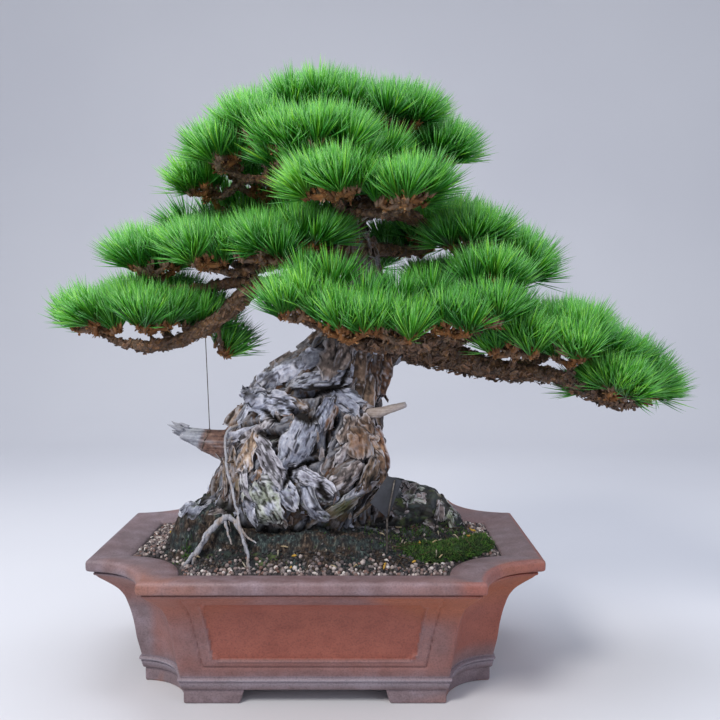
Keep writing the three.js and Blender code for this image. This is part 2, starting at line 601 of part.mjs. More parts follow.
// A limb's points. One that carries a spray at its end runs on to the spray's foot.
function limbPath(name) {
  const last = Object.values(SPRAYS).find((spray) => spray[3] === name && spray[4] === 1);
  return last ? [...LIMBS[name][0], ...uprightEnd(last)] : LIMBS[name][0];
}

function uprightEnd(spray) {
  const [x, y, z] = footOf(spray);
  return [[x, y, z - STEM_UPRIGHT], [x, y, z]];
}

// The twig from a limb up to a spray. It ends square at the spray's foot.
function twigPath(spray) {
  const root = curveOf(limbPath(spray[3])).getPointAt(spray[4]);
  const [low, foot] = uprightEnd(spray);
  const bend = root.clone().lerp(new Vector3(...low), 0.5);
  bend.z -= TWIG_SAG * root.distanceTo(bend);
  return [root.toArray(), bend.toArray(), low, foot];
}

function tree(holes) {
  const limbs = Object.entries(LIMBS).map(([name, [, radii, sides]]) => limb(limbPath(name), radii, sides));
  const twigs = Object.values(SPRAYS).filter((spray) => spray[4] < 1)
    .map((spray) => limb(twigPath(spray), TWIG_RADII, TWIG_SIDES));
  const ball = closedOutline(ROOT_OUTLINE, ROOT_OUTLINE_POINTS, 0);
  const rootBall = skin(ROOT_BALL_RINGS.map(([share, height]) => ball.map((p, j) => {
    const bump = share < 1 ? ROOT_BALL_BUMP * (2 * hash(j, height, 5) - 1) : 0;
    return new Vector3(p.x * share, p.y * share, height + bump);
  })));
  return joined([trunk(), rootBall, ...limbs, ...twigs]).subtract(joined(holes));
}

// ---- foliage ----------------------------------------------------------------------------------------
// Straight stretches of everything already placed: ends, radius and the name of the piece.
const placed = [];

function place(name, from, to, radius) {
  placed.push({ name, from, to, radius });
}

// Shortest distance between two straight stretches.
function distanceBetween(a, b, c, d) {
  const u = b.clone().sub(a);
  const v = d.clone().sub(c);
  const w = a.clone().sub(c);
  const uu = u.dot(u);
  const uv = u.dot(v);
  const vv = v.dot(v);
  const uw = u.dot(w);
  const vw = v.dot(w);
  const spread = uu * vv - uv * uv;
  const clamp = (value) => Math.min(1, Math.max(0, value));
  let s = spread > 1e-9 ? clamp((uv * vw - vv * uw) / spread) : 0;
  const t = clamp((uv * s + vw) / vv);
  s = clamp((uv * t - uw) / uu);
  return w.clone().addScaledVector(u, s).addScaledVector(v, -t).length();
}

// Whether a straight stretch passes clear of everything placed but the pieces in own.
function isClear(from, to, radius, own) {
  const middle = from.clone().lerp(to, 0.5);
  const reach = from.distanceTo(to) / 2 + radius + NEEDLE_GAP;
  return placed.every((other) => {
    if (own.includes(other.name)) return true;
    const otherMiddle = other.from.clone().lerp(other.to, 0.5);
    const apart = middle.distanceTo(otherMiddle) - reach - other.radius;
    if (apart > other.from.distanceTo(other.to) / 2) return true;
    return distanceBetween(from, to, other.from, other.to) > radius + other.radius + NEEDLE_GAP;
  });
}

function placeCurve(name, points, radii) {
  const curve = curveOf(points);
  const steps = Math.max(2, Math.ceil(curve.getLength() / PLACED_STEP));
  for (let i = 0; i < steps; i += 1) {
    const radius = Math.max(radiusAt(radii, i / steps), radiusAt(radii, (i + 1) / steps));
    place(name, curve.getPointAt(i / steps), curve.getPointAt((i + 1) / steps), PLACED_MARGIN * radius);
  }
}

// Where each shoot of a spray stands and leans: a golden-angle rule over the spray's ellipse.
function shootsOf(name, [[x, y, z], halfX, halfY], turn) {
  const count = Math.max(SHOOTS_LEAST, Math.min(SHOOTS_MOST, Math.round(halfX * halfY / SHOOT_AREA)));
  return Array.from({ length: count }, (_, k) => {
    const away = Math.sqrt((k + SHOOT_START) / count);
    const azimuth = (k * GOLDEN_ANGLE + turn) % (2 * Math.PI);
    const lean = SHOOT_LEAN * away;
    const root = new Vector3(
      x + Math.cos(azimuth) * away * (halfX - SHOOT_INSET),
      y + Math.sin(azimuth) * away * (halfY - SHOOT_INSET),
      z + SPRAY_DOME * (SPRAY_DOME_LEVEL - away * away),
    );
    const axis = new Vector3(
      Math.cos(azimuth) * Math.sin(lean), Math.sin(azimuth) * Math.sin(lean), Math.cos(lean),
    );
    return { own: name + k, azimuth, root, axis, tip: root.clone().addScaledVector(axis, SHOOT_LENGTH) };
  });
}

// The shoots of one spray, turned until they pass clear of every piece already placed.
function planSpray(name, spray) {
  const foot = new Vector3(...footOf(spray));
  foot.z += GAP;
  const hub = foot.clone().setZ(foot.z + HUB_HEIGHT / 2);
  const radius = SHOOT_THICKNESS / 2;
  let shoots = [];
  for (let attempt = 0; attempt < TURNS_TRIED; attempt += 1) {
    const turn = attempt * TURN_STEP + hash(spray[0][0], spray[0][1], 1) * 2 * Math.PI;
    const tried = shootsOf(name, spray, turn).filter(({ root, tip }) => {
      const past = hub.clone().lerp(root, Math.min(1, HUB_CLEARANCE / hub.distanceTo(root)));
      return isClear(past, root, radius, []) && isClear(root, tip, radius, []);
    });
    if (tried.length > shoots.length) shoots = tried;
  }
  place(name, foot, foot.clone().setZ(foot.z + HUB_HEIGHT), HUB_RADIUS);
  for (const { own, root, tip } of shoots) {
    place(own, hub, root, radius);
    place(own, root, tip, radius);
  }
  shoots.sort((a, b) => a.azimuth - b.azimuth);
  return { name, foot, shoots, random: seeded(Math.round(1000 * hash(...spray[0])) + 7) };
}

// The corners of a spray's hub in turn: each shoot leaves by the face that starts at its corner.
function hubCorners(shoots) {
  return shoots.flatMap((shoot, i) => {
    const next = shoots[(i + 1) % shoots.length].azimuth + (i + 1 === shoots.length ? 2 * Math.PI : 0);
    const leaving = shoot.azimuth + HUB_FACE;
    const open = next - HUB_FACE - leaving;
    const faces = Math.floor(open / HUB_BLANK) + 1;
    const plain = Array.from({ length: faces }, (_, k) => ({ azimuth: leaving + open * k / faces }));
    return [{ azimuth: shoot.azimuth - HUB_FACE, shoot }, ...plain];
  });
}

// One skin for a whole spray: a low hub, stems drawn out of its side faces, and needles drawn out of the
// small faces of each shoot's core.
function sprayBody(foot, shoots, random) {
  const points = [];
  const faces = [];
  const put = (point) => points.push(point) - 1;
  const corners = hubCorners(shoots);
  const rim = (height) => corners.map(({ azimuth }) => put(
    foot.clone().add(new Vector3(HUB_RADIUS * Math.cos(azimuth), HUB_RADIUS * Math.sin(azimuth), height)),
  ));
  const low = rim(0);
  const high = rim(HUB_HEIGHT);
  const under = put(foot.clone());
  const above = put(foot.clone().setZ(foot.z + HUB_PEAK));

  // A face of a core, drawn out into a needle where there is room for one.
  const needleFace = (face, shoot, spread) => {
    const [a, b, c] = face.map((index) => points[index]);
    const middle = a.clone().add(b).add(c).divideScalar(3);
    const normal = b.clone().sub(a).cross(c.clone().sub(a)).normalize();
    const aside = middle.clone().sub(shoot.root);
    aside.addScaledVector(shoot.axis, -aside.dot(shoot.axis)).normalize();
    const lean = spread + NEEDLE_WANDER * (random() - 0.5);
    const way = shoot.axis.clone().multiplyScalar(Math.cos(lean)).addScaledVector(aside, Math.sin(lean));
    way.x += NEEDLE_WANDER * (random() - 0.5);
    way.y += NEEDLE_WANDER * (random() - 0.5);
    way.setZ(Math.max(way.z, NEEDLE_DROOP)).normalize();
    const [shortest, longest] = NEEDLE_LENGTHS;
    const to = middle.clone().addScaledVector(way, shortest + (longest - shortest) * random());
    const grows = way.dot(normal) > NEEDLE_FACE_LIMIT && isClear(middle, to, NEEDLE_RADIUS, [shoot.own]);
    if (!grows) {
      faces.push(...face);
      return;
    }
    place(shoot.own, middle, to, NEEDLE_MEAN_RADIUS);
    const tip = put(to);
    faces.push(face[0], face[1], tip, face[1], face[2], tip, face[2], face[0], tip);
  };

  // A stem from the hub's face up to the shoot, then the shoot's core with its needles.
  const shootSkin = (shoot, root) => {
    const { azimuth, axis, tip } = shoot;
    const side = new Vector3(-Math.sin(azimuth), Math.cos(azimuth), 0);
    const bend = shoot.root.clone().sub(foot).normalize().add(axis).normalize();
    const rings = SHOOT_RINGS.map((height, m) => {
      const up = new Vector3().crossVectors(m === 0 ? bend : axis, side);
      const middle = shoot.root.clone().addScaledVector(axis, height);
      return [-3, -1, 1, 3].map((eighth) => {
        const angle = eighth * Math.PI / 4 - Math.PI / 2 + (m > 1 ? CORE_TWIST : 0);
        return put(middle.clone().addScaledVector(side, -CORE_RADII[m] * Math.sin(angle))
          .addScaledVector(up, CORE_RADII[m] * Math.cos(angle)));
      });
    });
    const levels = [root, ...rings];
    for (let m = 0; m + 1 < levels.length; m += 1) {
      for (let k = 0; k < 4; k += 1) {
        const next = (k + 1) % 4;
        const lower = [levels[m][k], levels[m][next], levels[m + 1][next]];
        const upper = [levels[m][k], levels[m + 1][next], levels[m + 1][k]];
        if (m === 1) needleFace(lower, shoot, NEEDLE_SPREAD[0]);
        else if (m === 3) needleFace(lower, shoot, NEEDLE_SPREAD[1]);
        else faces.push(...lower);
        if (m === 3) needleFace(upper, shoot, NEEDLE_SPREAD[2]);
        else faces.push(...upper);
      }
    }
    const end = put(tip);
    rings.at(-1).forEach((index, k, ring) => faces.push(index, ring[(k + 1) % 4], end));
  };

  corners.forEach(({ shoot }, i) => {
    const j = (i + 1) % corners.length;
    faces.push(above, high[i], high[j], under, low[j], low[i]);
    if (shoot) shootSkin(shoot, [low[i], low[j], high[j], high[i]]);
    else faces.push(low[i], low[j], high[j], low[i], high[j], high[i]);
  });
  return closedSkin(points, faces);
}

function foliage() {
  for (const [name, [, radii]] of Object.entries(LIMBS)) placeCurve('tree', limbPath(name), radii);
  for (const [height, left, right, deep, middleY] of TRUNK_LEVELS) {
    const inset = Math.min(deep, (right - left) / 2);
    const from = new Vector3(left + inset, middleY, height);
    const to = new Vector3(right - inset, middleY, height);
    place('tree', from, to, inset);
  }
  for (const spray of Object.values(SPRAYS).filter((one) => one[4] < 1)) {
    placeCurve('tree', twigPath(spray), TWIG_RADII);
  }
  const plans = Object.entries(SPRAYS).map(([name, spray]) => planSpray(name, spray));
  return plans.map(({ name, foot, shoots, random }) => [name, sprayBody(foot, shoots, random)]);
}

// ---- tie and tag ------------------------------------------------------------------------------------
// The tie hangs from the low left limb and ends in a ring round the stub. Grow thickens it, for its channel.
function tie(grow) {
  const radius = WIRE_RADIUS + grow;
  const curve = curveOf(LIMBS.left_stub[0]);
  const middle = curve.getPointAt(TIE_AT);
  const way = curve.getTangentAt(TIE_AT);
  const loop = new TorusGeometry(TIE_RING_RADIUS, radius, WIRE_SIDES, TIE_RING_STEPS);
  loop.applyQuaternion(new Quaternion().setFromUnitVectors(new Vector3(0, 0, 1), way));
  loop.translate(...middle.toArray());
  const top = new Vector3(...TIE_TOP);
  const upward = new Vector3(0, 0, 1).addScaledVector(way, -way.z);
  const foot = middle.clone().add(upward.setLength(TIE_RING_RADIUS));
  return joined([rod(foot, top, radius, WIRE_SIDES), solidOf(loop)]);
}

function tag() {
  const plate = new Shape(TAG_CORNERS.map(([x, z]) => new Vector2(x, z)));
  const geometry = new ExtrudeGeometry(plate, { depth: TAG_THICKNESS, bevelEnabled: false });
  geometry.rotateX(Math.PI / 2);
  geometry.translate(0, TAG_Y, 0);
  return solidOf(geometry);
}

function stake(grow) {
  const y = TAG_Y + STAKE_RADIUS + GAP;
  const foot = new Vector3(STAKE_X, y, STAKE_BOTTOM - grow);
  return rod(foot, new Vector3(STAKE_X, y, STAKE_TOP), STAKE_RADIUS + grow, STAKE_SIDES);
}

// ---- assembly ---------------------------------------------------------------------------------------
const group = new Group();
group.name = 'pine_bonsai_in_pot';

function add(name, solid, look) {
  const [colour, roughness] = COLOURS[look];
  const material = new MeshStandardMaterial({ color: colour, roughness, metalness: 0 });
  const mesh = new Mesh(geometryOf(solid), material);
  mesh.name = name;
  group.add(mesh);
}

const sprays = foliage();
const raisedSoil = soilBody(GAP).subtract(rootPrism(GAP, 0, ABOVE_SOIL));
const screenPockets = [-DRAIN_X, DRAIN_X].map((x) => box(
  [SCREEN_SIZE + 2 * GAP, SCREEN_SIZE + 2 * GAP, 2 * SCREEN_THICKNESS + 2 * GAP], [x, 0, FLOOR_TOP + GAP],
));
const treeSolid = tree([raisedSoil, tie(GAP)]);
const rootHole = rootPrism(GAP, ROOT_BALL_BOTTOM - GAP, ABOVE_SOIL);
const soilSolid = soilBody(0).subtract(joined([rootHole, ...screenPockets, stake(GAP)]));
const mossSolid = moss().subtract(joined([soilBody(GAP), rootPrism(GAP, 0, ABOVE_SOIL), stake(GAP)]));

add('pot', pot(), 'pot');
add('drain_screen_left', drainScreen(-DRAIN_X), 'drain_screen');
add('drain_screen_right', drainScreen(DRAIN_X), 'drain_screen');
add('soil', soilSolid, 'soil');
add('moss', mossSolid, 'moss');
add('tree', treeSolid, 'tree');
for (const [name, solid] of sprays) add('needles_' + name, solid, 'needles');
add('tie_wire', tie(0), 'wire');
add('tag', tag(), 'tag');
add('tag_stake', stake(0), 'wire');

const whole = new Box3().setFromObject(group);
const middle = whole.getCenter(new Vector3());
for (const mesh of group.children) mesh.geometry.translate(-middle.x, -middle.y, -whole.min.z);

export default group;
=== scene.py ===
"""Pine bonsai in a notched stoneware pot, dressed over its frame.

Tables are in millimetres from the middle of the pot's foot, X along the pot, -Y to the front, as measured
on the tree.
"""
import contextlib
import functools
import itertools
import math
import typing

import bpy
import numpy as np
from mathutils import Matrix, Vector
from mathutils.bvhtree import BVHTree


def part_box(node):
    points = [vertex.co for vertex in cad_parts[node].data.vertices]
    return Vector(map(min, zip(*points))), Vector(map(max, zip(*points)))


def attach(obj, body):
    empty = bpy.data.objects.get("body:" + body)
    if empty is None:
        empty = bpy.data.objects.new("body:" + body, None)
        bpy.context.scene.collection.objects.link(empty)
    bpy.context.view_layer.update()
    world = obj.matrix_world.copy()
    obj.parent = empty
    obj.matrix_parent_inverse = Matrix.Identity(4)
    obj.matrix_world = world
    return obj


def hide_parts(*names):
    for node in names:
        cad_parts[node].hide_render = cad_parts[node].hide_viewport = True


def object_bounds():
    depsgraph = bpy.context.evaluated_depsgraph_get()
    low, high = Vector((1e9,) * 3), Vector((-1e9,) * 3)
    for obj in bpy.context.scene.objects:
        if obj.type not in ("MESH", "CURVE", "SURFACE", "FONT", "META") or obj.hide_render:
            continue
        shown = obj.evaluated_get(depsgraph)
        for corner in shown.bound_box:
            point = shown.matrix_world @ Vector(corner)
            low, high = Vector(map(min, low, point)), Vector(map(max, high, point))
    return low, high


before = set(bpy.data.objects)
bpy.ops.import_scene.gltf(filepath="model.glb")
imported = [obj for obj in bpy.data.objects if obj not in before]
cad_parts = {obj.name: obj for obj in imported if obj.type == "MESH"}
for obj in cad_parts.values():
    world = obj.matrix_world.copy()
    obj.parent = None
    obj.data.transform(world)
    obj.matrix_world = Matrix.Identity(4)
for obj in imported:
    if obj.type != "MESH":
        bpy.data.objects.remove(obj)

CAD_BOX = [list(corner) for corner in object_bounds()]
POT_LOW, POT_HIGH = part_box("pot")
POT_MIDDLE = np.array([(POT_LOW.x + POT_HIGH.x) / 2, (POT_LOW.y + POT_HIGH.y) / 2, 0.0])
MM = 0.001
GOLDEN = math.pi * (3 - math.sqrt(5))
ROUND = 6.28                  # the span of a seeded turn


# ---- small helpers ----
def at(points):
    """Millimetres from the middle of the pot, turned to metres in the object's own frame."""
    return np.asarray(points, dtype=float) * MM + POT_MIDDLE


def from_frame(points):
    return (np.asarray(points, dtype=float) - POT_MIDDLE) / MM


def linear(colour):
    """An sRGB hex colour as linear red, green, blue and alpha."""
    parts = [int(colour[i:i + 2], 16) / 255 for i in (1, 3, 5)]
    return [c / 12.92 if c <= 0.04045 else ((c + 0.055) / 1.055) ** 2.4 for c in parts] + [1.0]


def select_only(piece):
    bpy.ops.object.select_all(action="DESELECT")
    piece.select_set(True)
    bpy.context.view_layer.objects.active = piece


@contextlib.contextmanager
def edit_mode(piece):
    """Edit mode with all of a piece's mesh selected, and object mode again afterwards."""
    select_only(piece)
    bpy.ops.object.mode_set(mode="EDIT")
    bpy.ops.mesh.select_all(action="SELECT")
    yield
    bpy.ops.object.mode_set(mode="OBJECT")


def primitive(kind, **settings):
    bpy.ops.object.select_all(action="DESELECT")
    getattr(bpy.ops.mesh, f"primitive_{kind}_add")(**settings)
    return bpy.context.object


def smooth_by_angle(piece, degrees):
    select_only(piece)
    bpy.ops.object.shade_smooth_by_angle(angle=math.radians(degrees))


def in_scene(name, data):
    item = bpy.data.objects.new(name, data)
    bpy.context.scene.collection.objects.link(item)
    return item


def piece_from(name, points, faces, smooth=True):
    """A piece from points in metres and its faces."""
    mesh = bpy.data.meshes.new(name)
    mesh.from_pydata([tuple(p) for p in points], [], [tuple(f) for f in faces])
    mesh.update()
    if smooth:
        mesh.polygons.foreach_set("use_smooth", [True] * len(mesh.polygons))
    return in_scene(name, mesh)


def read_rows(items, key, width=3, kind=float):
    found = np.empty(len(items) * width, dtype=kind)
    items.foreach_get(key, found)
    return found.reshape(-1, width)


def points_of(piece):
    return read_rows(piece.data.vertices, "co")


def normals_of(piece):
    return read_rows(piece.data.vertices, "normal")


def move_points(piece, points):
    piece.data.vertices.foreach_set("co", np.asarray(points, dtype=float).ravel())
    piece.data.update()


def paint(piece, name, columns):
    """Keeps up to four numbers for each point of a piece as a colour that its material reads."""
    layer = piece.data.color_attributes.new(name, "FLOAT_COLOR", "POINT")
    table = np.ones((len(piece.data.vertices), 4))
    for k, column in enumerate(columns):
        table[:, k] = column
    layer.data.foreach_set("color", table.ravel())


def duplicate(piece, name):
    twin = piece.copy()
    twin.data = piece.data.copy()
    twin.name = name
    bpy.context.scene.collection.objects.link(twin)
    return twin


def copy_of_node(node, name):
    """A welded copy of a frame node, for shaping further."""
    piece = duplicate(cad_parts[node], name)
    world = piece.matrix_world.copy()
    piece.parent = None
    piece.matrix_world = world
    select_only(piece)
    bpy.ops.object.transform_apply(location=True, rotation=True, scale=True)
    with edit_mode(piece):
        bpy.ops.mesh.remove_doubles(threshold=1e-6)
    return piece


def remesh(piece, size):
    select_only(piece)
    piece.data.remesh_voxel_size = size
    piece.data.use_remesh_preserve_volume = True
    bpy.ops.object.voxel_remesh()


def apply_modifier(piece, kind, **settings):
    select_only(piece)
    modifier = piece.modifiers.new(kind.title(), kind)
    for key, value in settings.items():
        setattr(modifier, key, value)
    bpy.ops.object.modifier_apply(modifier=modifier.name)


def dress(piece, material, slot, *nodes):
    """Gives a finished piece its material and its place in the frame; slot is not used."""
    piece.data.materials.clear()
    piece.data.materials.append(material)
    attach(piece, "root")
    if nodes:
        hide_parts(*nodes)
    return piece


def surface_tree(piece):
    """A piece's surface for finding places on it."""
    mesh = piece.data
    mesh.calc_loop_triangles()
    triangles = read_rows(mesh.loop_triangles, "vertices", 3, np.int64)
    return BVHTree.FromPolygons(points_of(piece).tolist(), triangles.tolist())


# ---- seeded patterns ----
def cell_number(cell, seed):
    """The same number from 0 to 1 for the same whole-numbered cell every time."""
    mixed = cell[..., 0] * 73856093 ^ cell[..., 1] * 19349663 ^ cell[..., 2] * 83492791 ^ seed * 2654435761
    mixed = (mixed ^ (mixed >> 13)) & 0xFFFFFFFF
    mixed = (mixed * 1274126177) & 0xFFFFFFFF
    mixed = (mixed ^ (mixed >> 16)) & 0xFFFFF
    return mixed / 0xFFFFF


def soft_noise(points, size, seed):
    """Smooth noise from 0 to 1 whose lumps are about as wide as size."""
    p = points / size
    base = np.floor(p).astype(np.int64)
    part = p - base
    part = part * part * (3 - 2 * part)
    total = np.zeros(len(p))
    for corner in itertools.product((0, 1), repeat=3):
        share = np.prod(np.where(corner, part, 1 - part), axis=1)
        total += share * cell_number(base + corner, seed)
    return total


def layered_noise(points, size, seed, layers=3):
    """Soft noise with finer layers in it; size is one number, or one for each direction."""
    total = np.zeros(len(points))
    for k in range(layers):
        total += soft_noise(points, np.asarray(size) / 2 ** k, seed + k) / 2 ** k
    return total / (2 - 2 ** (1 - layers))


def pads(points, size, seed):
    """Pads round the seeded points of a grid: how near each place is to its pad's edge (0 at the edge) and
    the pad's own number."""
    p = points / size
    base = np.floor(p).astype(np.int64)
    nearest = np.full(len(p), 9.0)
    second = np.full(len(p), 9.0)
    cell = np.zeros_like(base)
    for step in itertools.product((-1, 0, 1), repeat=3):
        near = base + step
        middle = near + np.stack([cell_number(near, seed + k) for k in range(3)], axis=1)
        away = np.linalg.norm(p - middle, axis=1)
        closer = away < nearest
        second = np.where(closer, nearest, np.minimum(second, away))
        nearest = np.where(closer, away, nearest)
        cell[closer] = near[closer]
    return second - nearest, cell_number(cell, seed + 9)


def steps(value, low, high):
    """Smooth rise from 0 to 1 between two values."""
    part = np.clip((value - low) / (high - low), 0, 1)
    return part * part * (3 - 2 * part)


# ---- materials ----
MIX = {"data_type": "RGBA", "blend_type": "MIX"}
MULTIPLY = {"data_type": "RGBA", "blend_type": "MULTIPLY"}
MIXED = 2                     # output of a colour mix; its factor is input 0 and its colours 6 and 7
PER_METRE = 1000              # over a lump's size in millimetres, the scale of a noise


def add_node(material, kind, settings, output=0):
    """Adds one shader node with its settings and links, and gives one of its outputs. A setting is a property
    or an input; an output of another node is linked, and hex colours and a ramp's stops are made linear."""
    node = material.node_tree.nodes.new("ShaderNode" + kind)
    for key, value in settings.items():
        if key == "stops":
            elements = node.color_ramp.elements
            while len(elements) < len(value):
                elements.new(0.5)
            for element, (place, tone) in zip(elements, value):
                element.position = place
                element.color = linear(tone) if isinstance(tone, str) else (tone, tone, tone, 1)
        elif isinstance(key, str) and key not in node.inputs:
            setattr(node, key, value)
        elif isinstance(value, bpy.types.NodeSocket):
            material.node_tree.links.new(value, node.inputs[key])
        else:
            node.inputs[key].default_value = linear(value) if isinstance(value, str) else value
    return node.outputs[output] if node.outputs else None


def new_material(name):
    """An empty material, what adds a node to it, and the place on the object in metres."""
    material = bpy.data.materials.new(name)
    material.use_nodes = True
    material.node_tree.nodes.clear()
    return material, functools.partial(add_node, material), add_node(material, "TexCoord", {}, "Object")


def painted(material, name):
    """The numbers that paint() kept on a piece, one output each."""
    layer = add_node(material, "Attribute", {"attribute_name": name}).node
    split = add_node(material, "SeparateColor", {"Color": layer.outputs["Color"]}).node
    return [*split.outputs, layer.outputs["Alpha"]]


def finish_material(material, colour, roughness, bumps, **settings):
    """Joins colour, roughness and bumps (height source, depth in metres) into one surface."""
    normal = {}
    for height, depth in bumps:
        normal = {"Normal": add_node(material, "Bump", {"Height": height, "Distance": depth, **normal})}
    shader = add_node(material, "BsdfPrincipled",
                      {"Base Color": colour, "Roughness": roughness, **settings, **normal})
    add_node(material, "OutputMaterial", {"Surface": shader})
    return material


def stoneware():
    """Unglazed fired clay: dry red-brown body, ash-greyed rim and feet, orange where hands have rubbed the
    corners, painted red and orange shade in the hollows of the notches and over the right end, a painted
    highlight along the lip, the ledge and band above the feet and the panel's bead, and a fine sandy grit
    that keeps the sheen broken."""
    material, node, place = new_material("unglazed_stoneware")
    grey, orange_share, edge, red = painted(material, "pot_wear")
    cloud, patch, grit = (
        node("TexNoise", {"Vector": place, "Scale": PER_METRE / lump, "Detail": detail, "Roughness": 0.55})
        for lump, detail in ((60, 5), (18, 4), (2.2, 2)))
    body, panel, ash, speckle, rough = (node("ValToRGB", {"Fac": noise, "stops": stops}) for noise, stops in (
        (cloud, [(0.3, "#784b43"), (0.5, "#8a584e"), (0.7, "#96655d")]),
        (patch, [(0.3, "#8a4636"), (0.7, "#9c5644")]),
        (patch, [(0.3, "#69575a"), (0.5, "#7a686c"), (0.72, "#8a7a81")]),
        (grit, [(0.32, 0.72), (0.5, 1.0), (0.7, 1.12)]),
        (patch, [(0.3, 0.5), (0.7, 0.66)])))
    colour = body
    # The panel's red and the rubbed orange also lay painted shade over the notch hollows and the right end;
    # the last, pale mix is a painted highlight.
    for share, over in ((red, panel), (grey, ash), (orange_share, "#a0603f"), (edge, "#9a929c")):
        colour = node("Mix", {**MIX, 0: share, 6: colour, 7: over}, MIXED)
    colour = node("Mix", {**MULTIPLY, 0: 0.8, 6: colour, 7: speckle}, MIXED)
    return finish_material(material, colour, rough, [(patch, 0.0006), (grit, 0.00035)], IOR=1.5)


def bark():
    """Old pine bark in layers: silvered lilac-grey plates with pale broken edges and a painted highlight
    where they stand out, buff and rusty where they have come away, with buff and rust laid on the trunk's
    right side as painted warm light, painted shade near black in the hollows, between the sheets and under
    them, pale crusts of lichen, green algae, and damp soil with painted shade low down. Younger limbs are
    olive brown, and shed branches and loose roots are bare grey and tan wood."""
    material, node, place = new_material("old_pine_bark")
    own, crack_and_shade, young, bare = painted(material, "bark_form")
    low, rust, buff, algae = painted(material, "bark_tone")
    lichen, pale, weathered, _ = painted(material, "bark_age")
    coat = node("Attribute", {"attribute_name": "bark_grain"}, "Vector")
    grain = node("TexNoise", {"Vector": coat, "Scale": 1.0, "Detail": 4, "Roughness": 0.6})
    fine = node("TexNoise", {"Vector": place, "Scale": PER_METRE / 6, "Detail": 6, "Roughness": 0.65})
    blotch = node("TexNoise", {"Vector": place, "Scale": PER_METRE / 16, "Detail": 4, "Roughness": 0.55})
    both = node("Mix", {**MIX, 0: 0.5, 6: grain, 7: fine}, MIXED)
    tones = {name: node("ValToRGB", {"Fac": source, "stops": stops}) for name, source, stops in (
        ("silver", both, [(0.34, "#45434c"), (0.42, "#7b7c8b"), (0.52, "#a7acbd"), (0.62, "#d6dcea")]),
        ("tan", both, [(0.34, "#33271f"), (0.42, "#6f5b4b"), (0.54, "#9b8470"), (0.68, "#d0bfae")]),
        ("fox", both, [(0.34, "#2b180f"), (0.43, "#5f3b27"), (0.55, "#8a5b3d"), (0.68, "#b88c66")]),
        ("crust", fine, [(0.36, "#676c62"), (0.48, "#a8afa2"), (0.64, "#d2d8cf")]),
        ("olive", both, [(0.34, "#211810"), (0.44, "#4d3a28"), (0.55, "#75593b"), (0.68, "#9c7d58")]),
        ("orange", both, [(0.36, "#4a2a17"), (0.5, "#8a552d"), (0.66, "#b9814a")]),
        ("wood", both, [(0.34, "#8a7565"), (0.48, "#b9a596"), (0.66, "#d8cabf")]),
        ("grey wood", both, [(0.34, "#6d6f78"), (0.5, "#a4a8b4"), (0.66, "#cdd1da")]),
        ("sheet", own, [(0.0, 0.7), (0.5, 0.98), (1.0, 1.2)]),
        ("dirt_and_shade", blotch, [(0.3, "#17181a"), (0.5, "#23282b"), (0.62, "#2f3a33"), (0.76, "#414c3f")]),
        ("rough", fine, [(0.3, 0.72), (0.7, 0.92)]),
    )}
    limb = node("Mix", {**MIX, 0: own, 6: tones["olive"], 7: tones["orange"]}, MIXED)
    limb = node("Mix", {**MIX, 0: 0.35, 6: tones["olive"], 7: limb}, MIXED)
    colour = tones["silver"]
    # The pale mix is a painted highlight, the low mix is damp soil with painted shade, and the last, near
    # black mix is painted shade with the dark splits.
    for share, over, way in (
            (buff, tones["tan"], MIX), (rust, tones["fox"], MIX), (lichen, tones["crust"], MIX),
            (young, limb, MIX), (bare, tones["wood"], MIX), (weathered, tones["grey wood"], MIX),
            (pale, "#d3d2da", MIX), (0.85, tones["sheet"], MULTIPLY), (low, tones["dirt_and_shade"], MIX),
            (algae, "#5e6d31", MIX), (crack_and_shade, "#171210", MIX)):
        colour = node("Mix", {**way, 0: share, 6: colour, 7: over}, MIXED)
    return finish_material(material, colour, tones["rough"], [(grain, 0.0016), (fine, 0.0016)], IOR=1.45)


def needle_green():
    """Living pine needles: waxy, with a painted cool glint that makes them bluer and paler towards the tip;
    yellow-green where young; painted shade gives a deeper green at the foot, and a painted lift brightens the
    tip."""
    material, node, _ = new_material("waxy_pine_needle")
    along, own, inner, glint = painted(material, "needle_tone")
    fresh, cool, tip, shade_and_light_along = (node("ValToRGB", {"Fac": source, "stops": stops}) for source, stops in (
        (own, [(0.0, "#287411"), (0.35, "#439816"), (0.65, "#5eb21e"), (1.0, "#8fd232")]),
        (own, [(0.0, "#216a26"), (0.5, "#378d34"), (1.0, "#5fb34c")]),
        (along, [(0.5, 0.0), (1.0, 0.42)]),
        (along, [(0.0, 0.62), (0.3, 0.96), (1.0, 1.12)])))
    colour = node("Mix", {**MIX, 0: inner, 6: fresh, 7: cool}, MIXED)
    # Painted glint: a pale cool colour towards the tip, by each needle's own glint.
    pale = node("Mix", {**MIX, 0: glint, 6: colour, 7: "#abe4ad"}, MIXED)
    colour = node("Mix", {**MIX, 0: tip, 6: colour, 7: pale}, MIXED)
    # Painted shade darkens the foot, and a painted lift brightens the tip.
    colour = node("Mix", {**MULTIPLY, 0: 1.0, 6: colour, 7: shade_and_light_along}, MIXED)
    return finish_material(material, colour, 0.36, [], IOR=1.5)


def bud_scale():
    """Dry papery scales and twig bark: foxy orange brown, paler at the curled edges, grey where old."""
    material, node, place = new_material("papery_bud_scale")
    own, edge, grey, _ = painted(material, "scale_tone")
    fine = node("TexNoise", {"Vector": place, "Scale": PER_METRE / 3, "Detail": 4, "Roughness": 0.55})
    brown, shade = (node("ValToRGB", {"Fac": source, "stops": stops}) for source, stops in (
        (own, [(0.0, "#3d2615"), (0.35, "#714827"), (0.7, "#9c6836"), (1.0, "#c79c6c")]),
        (fine, [(0.3, 0.6), (0.7, 1.15)])))
    colour = brown
    for share, over, way in ((grey, "#8f8072", MIX), (1.0, shade, MULTIPLY), (edge, "#d8b78c", MIX)):
        colour = node("Mix", {**way, 0: share, 6: colour, 7: over}, MIXED)
    return finish_material(material, colour, 0.8, [(fine, 0.0006)], IOR=1.45)


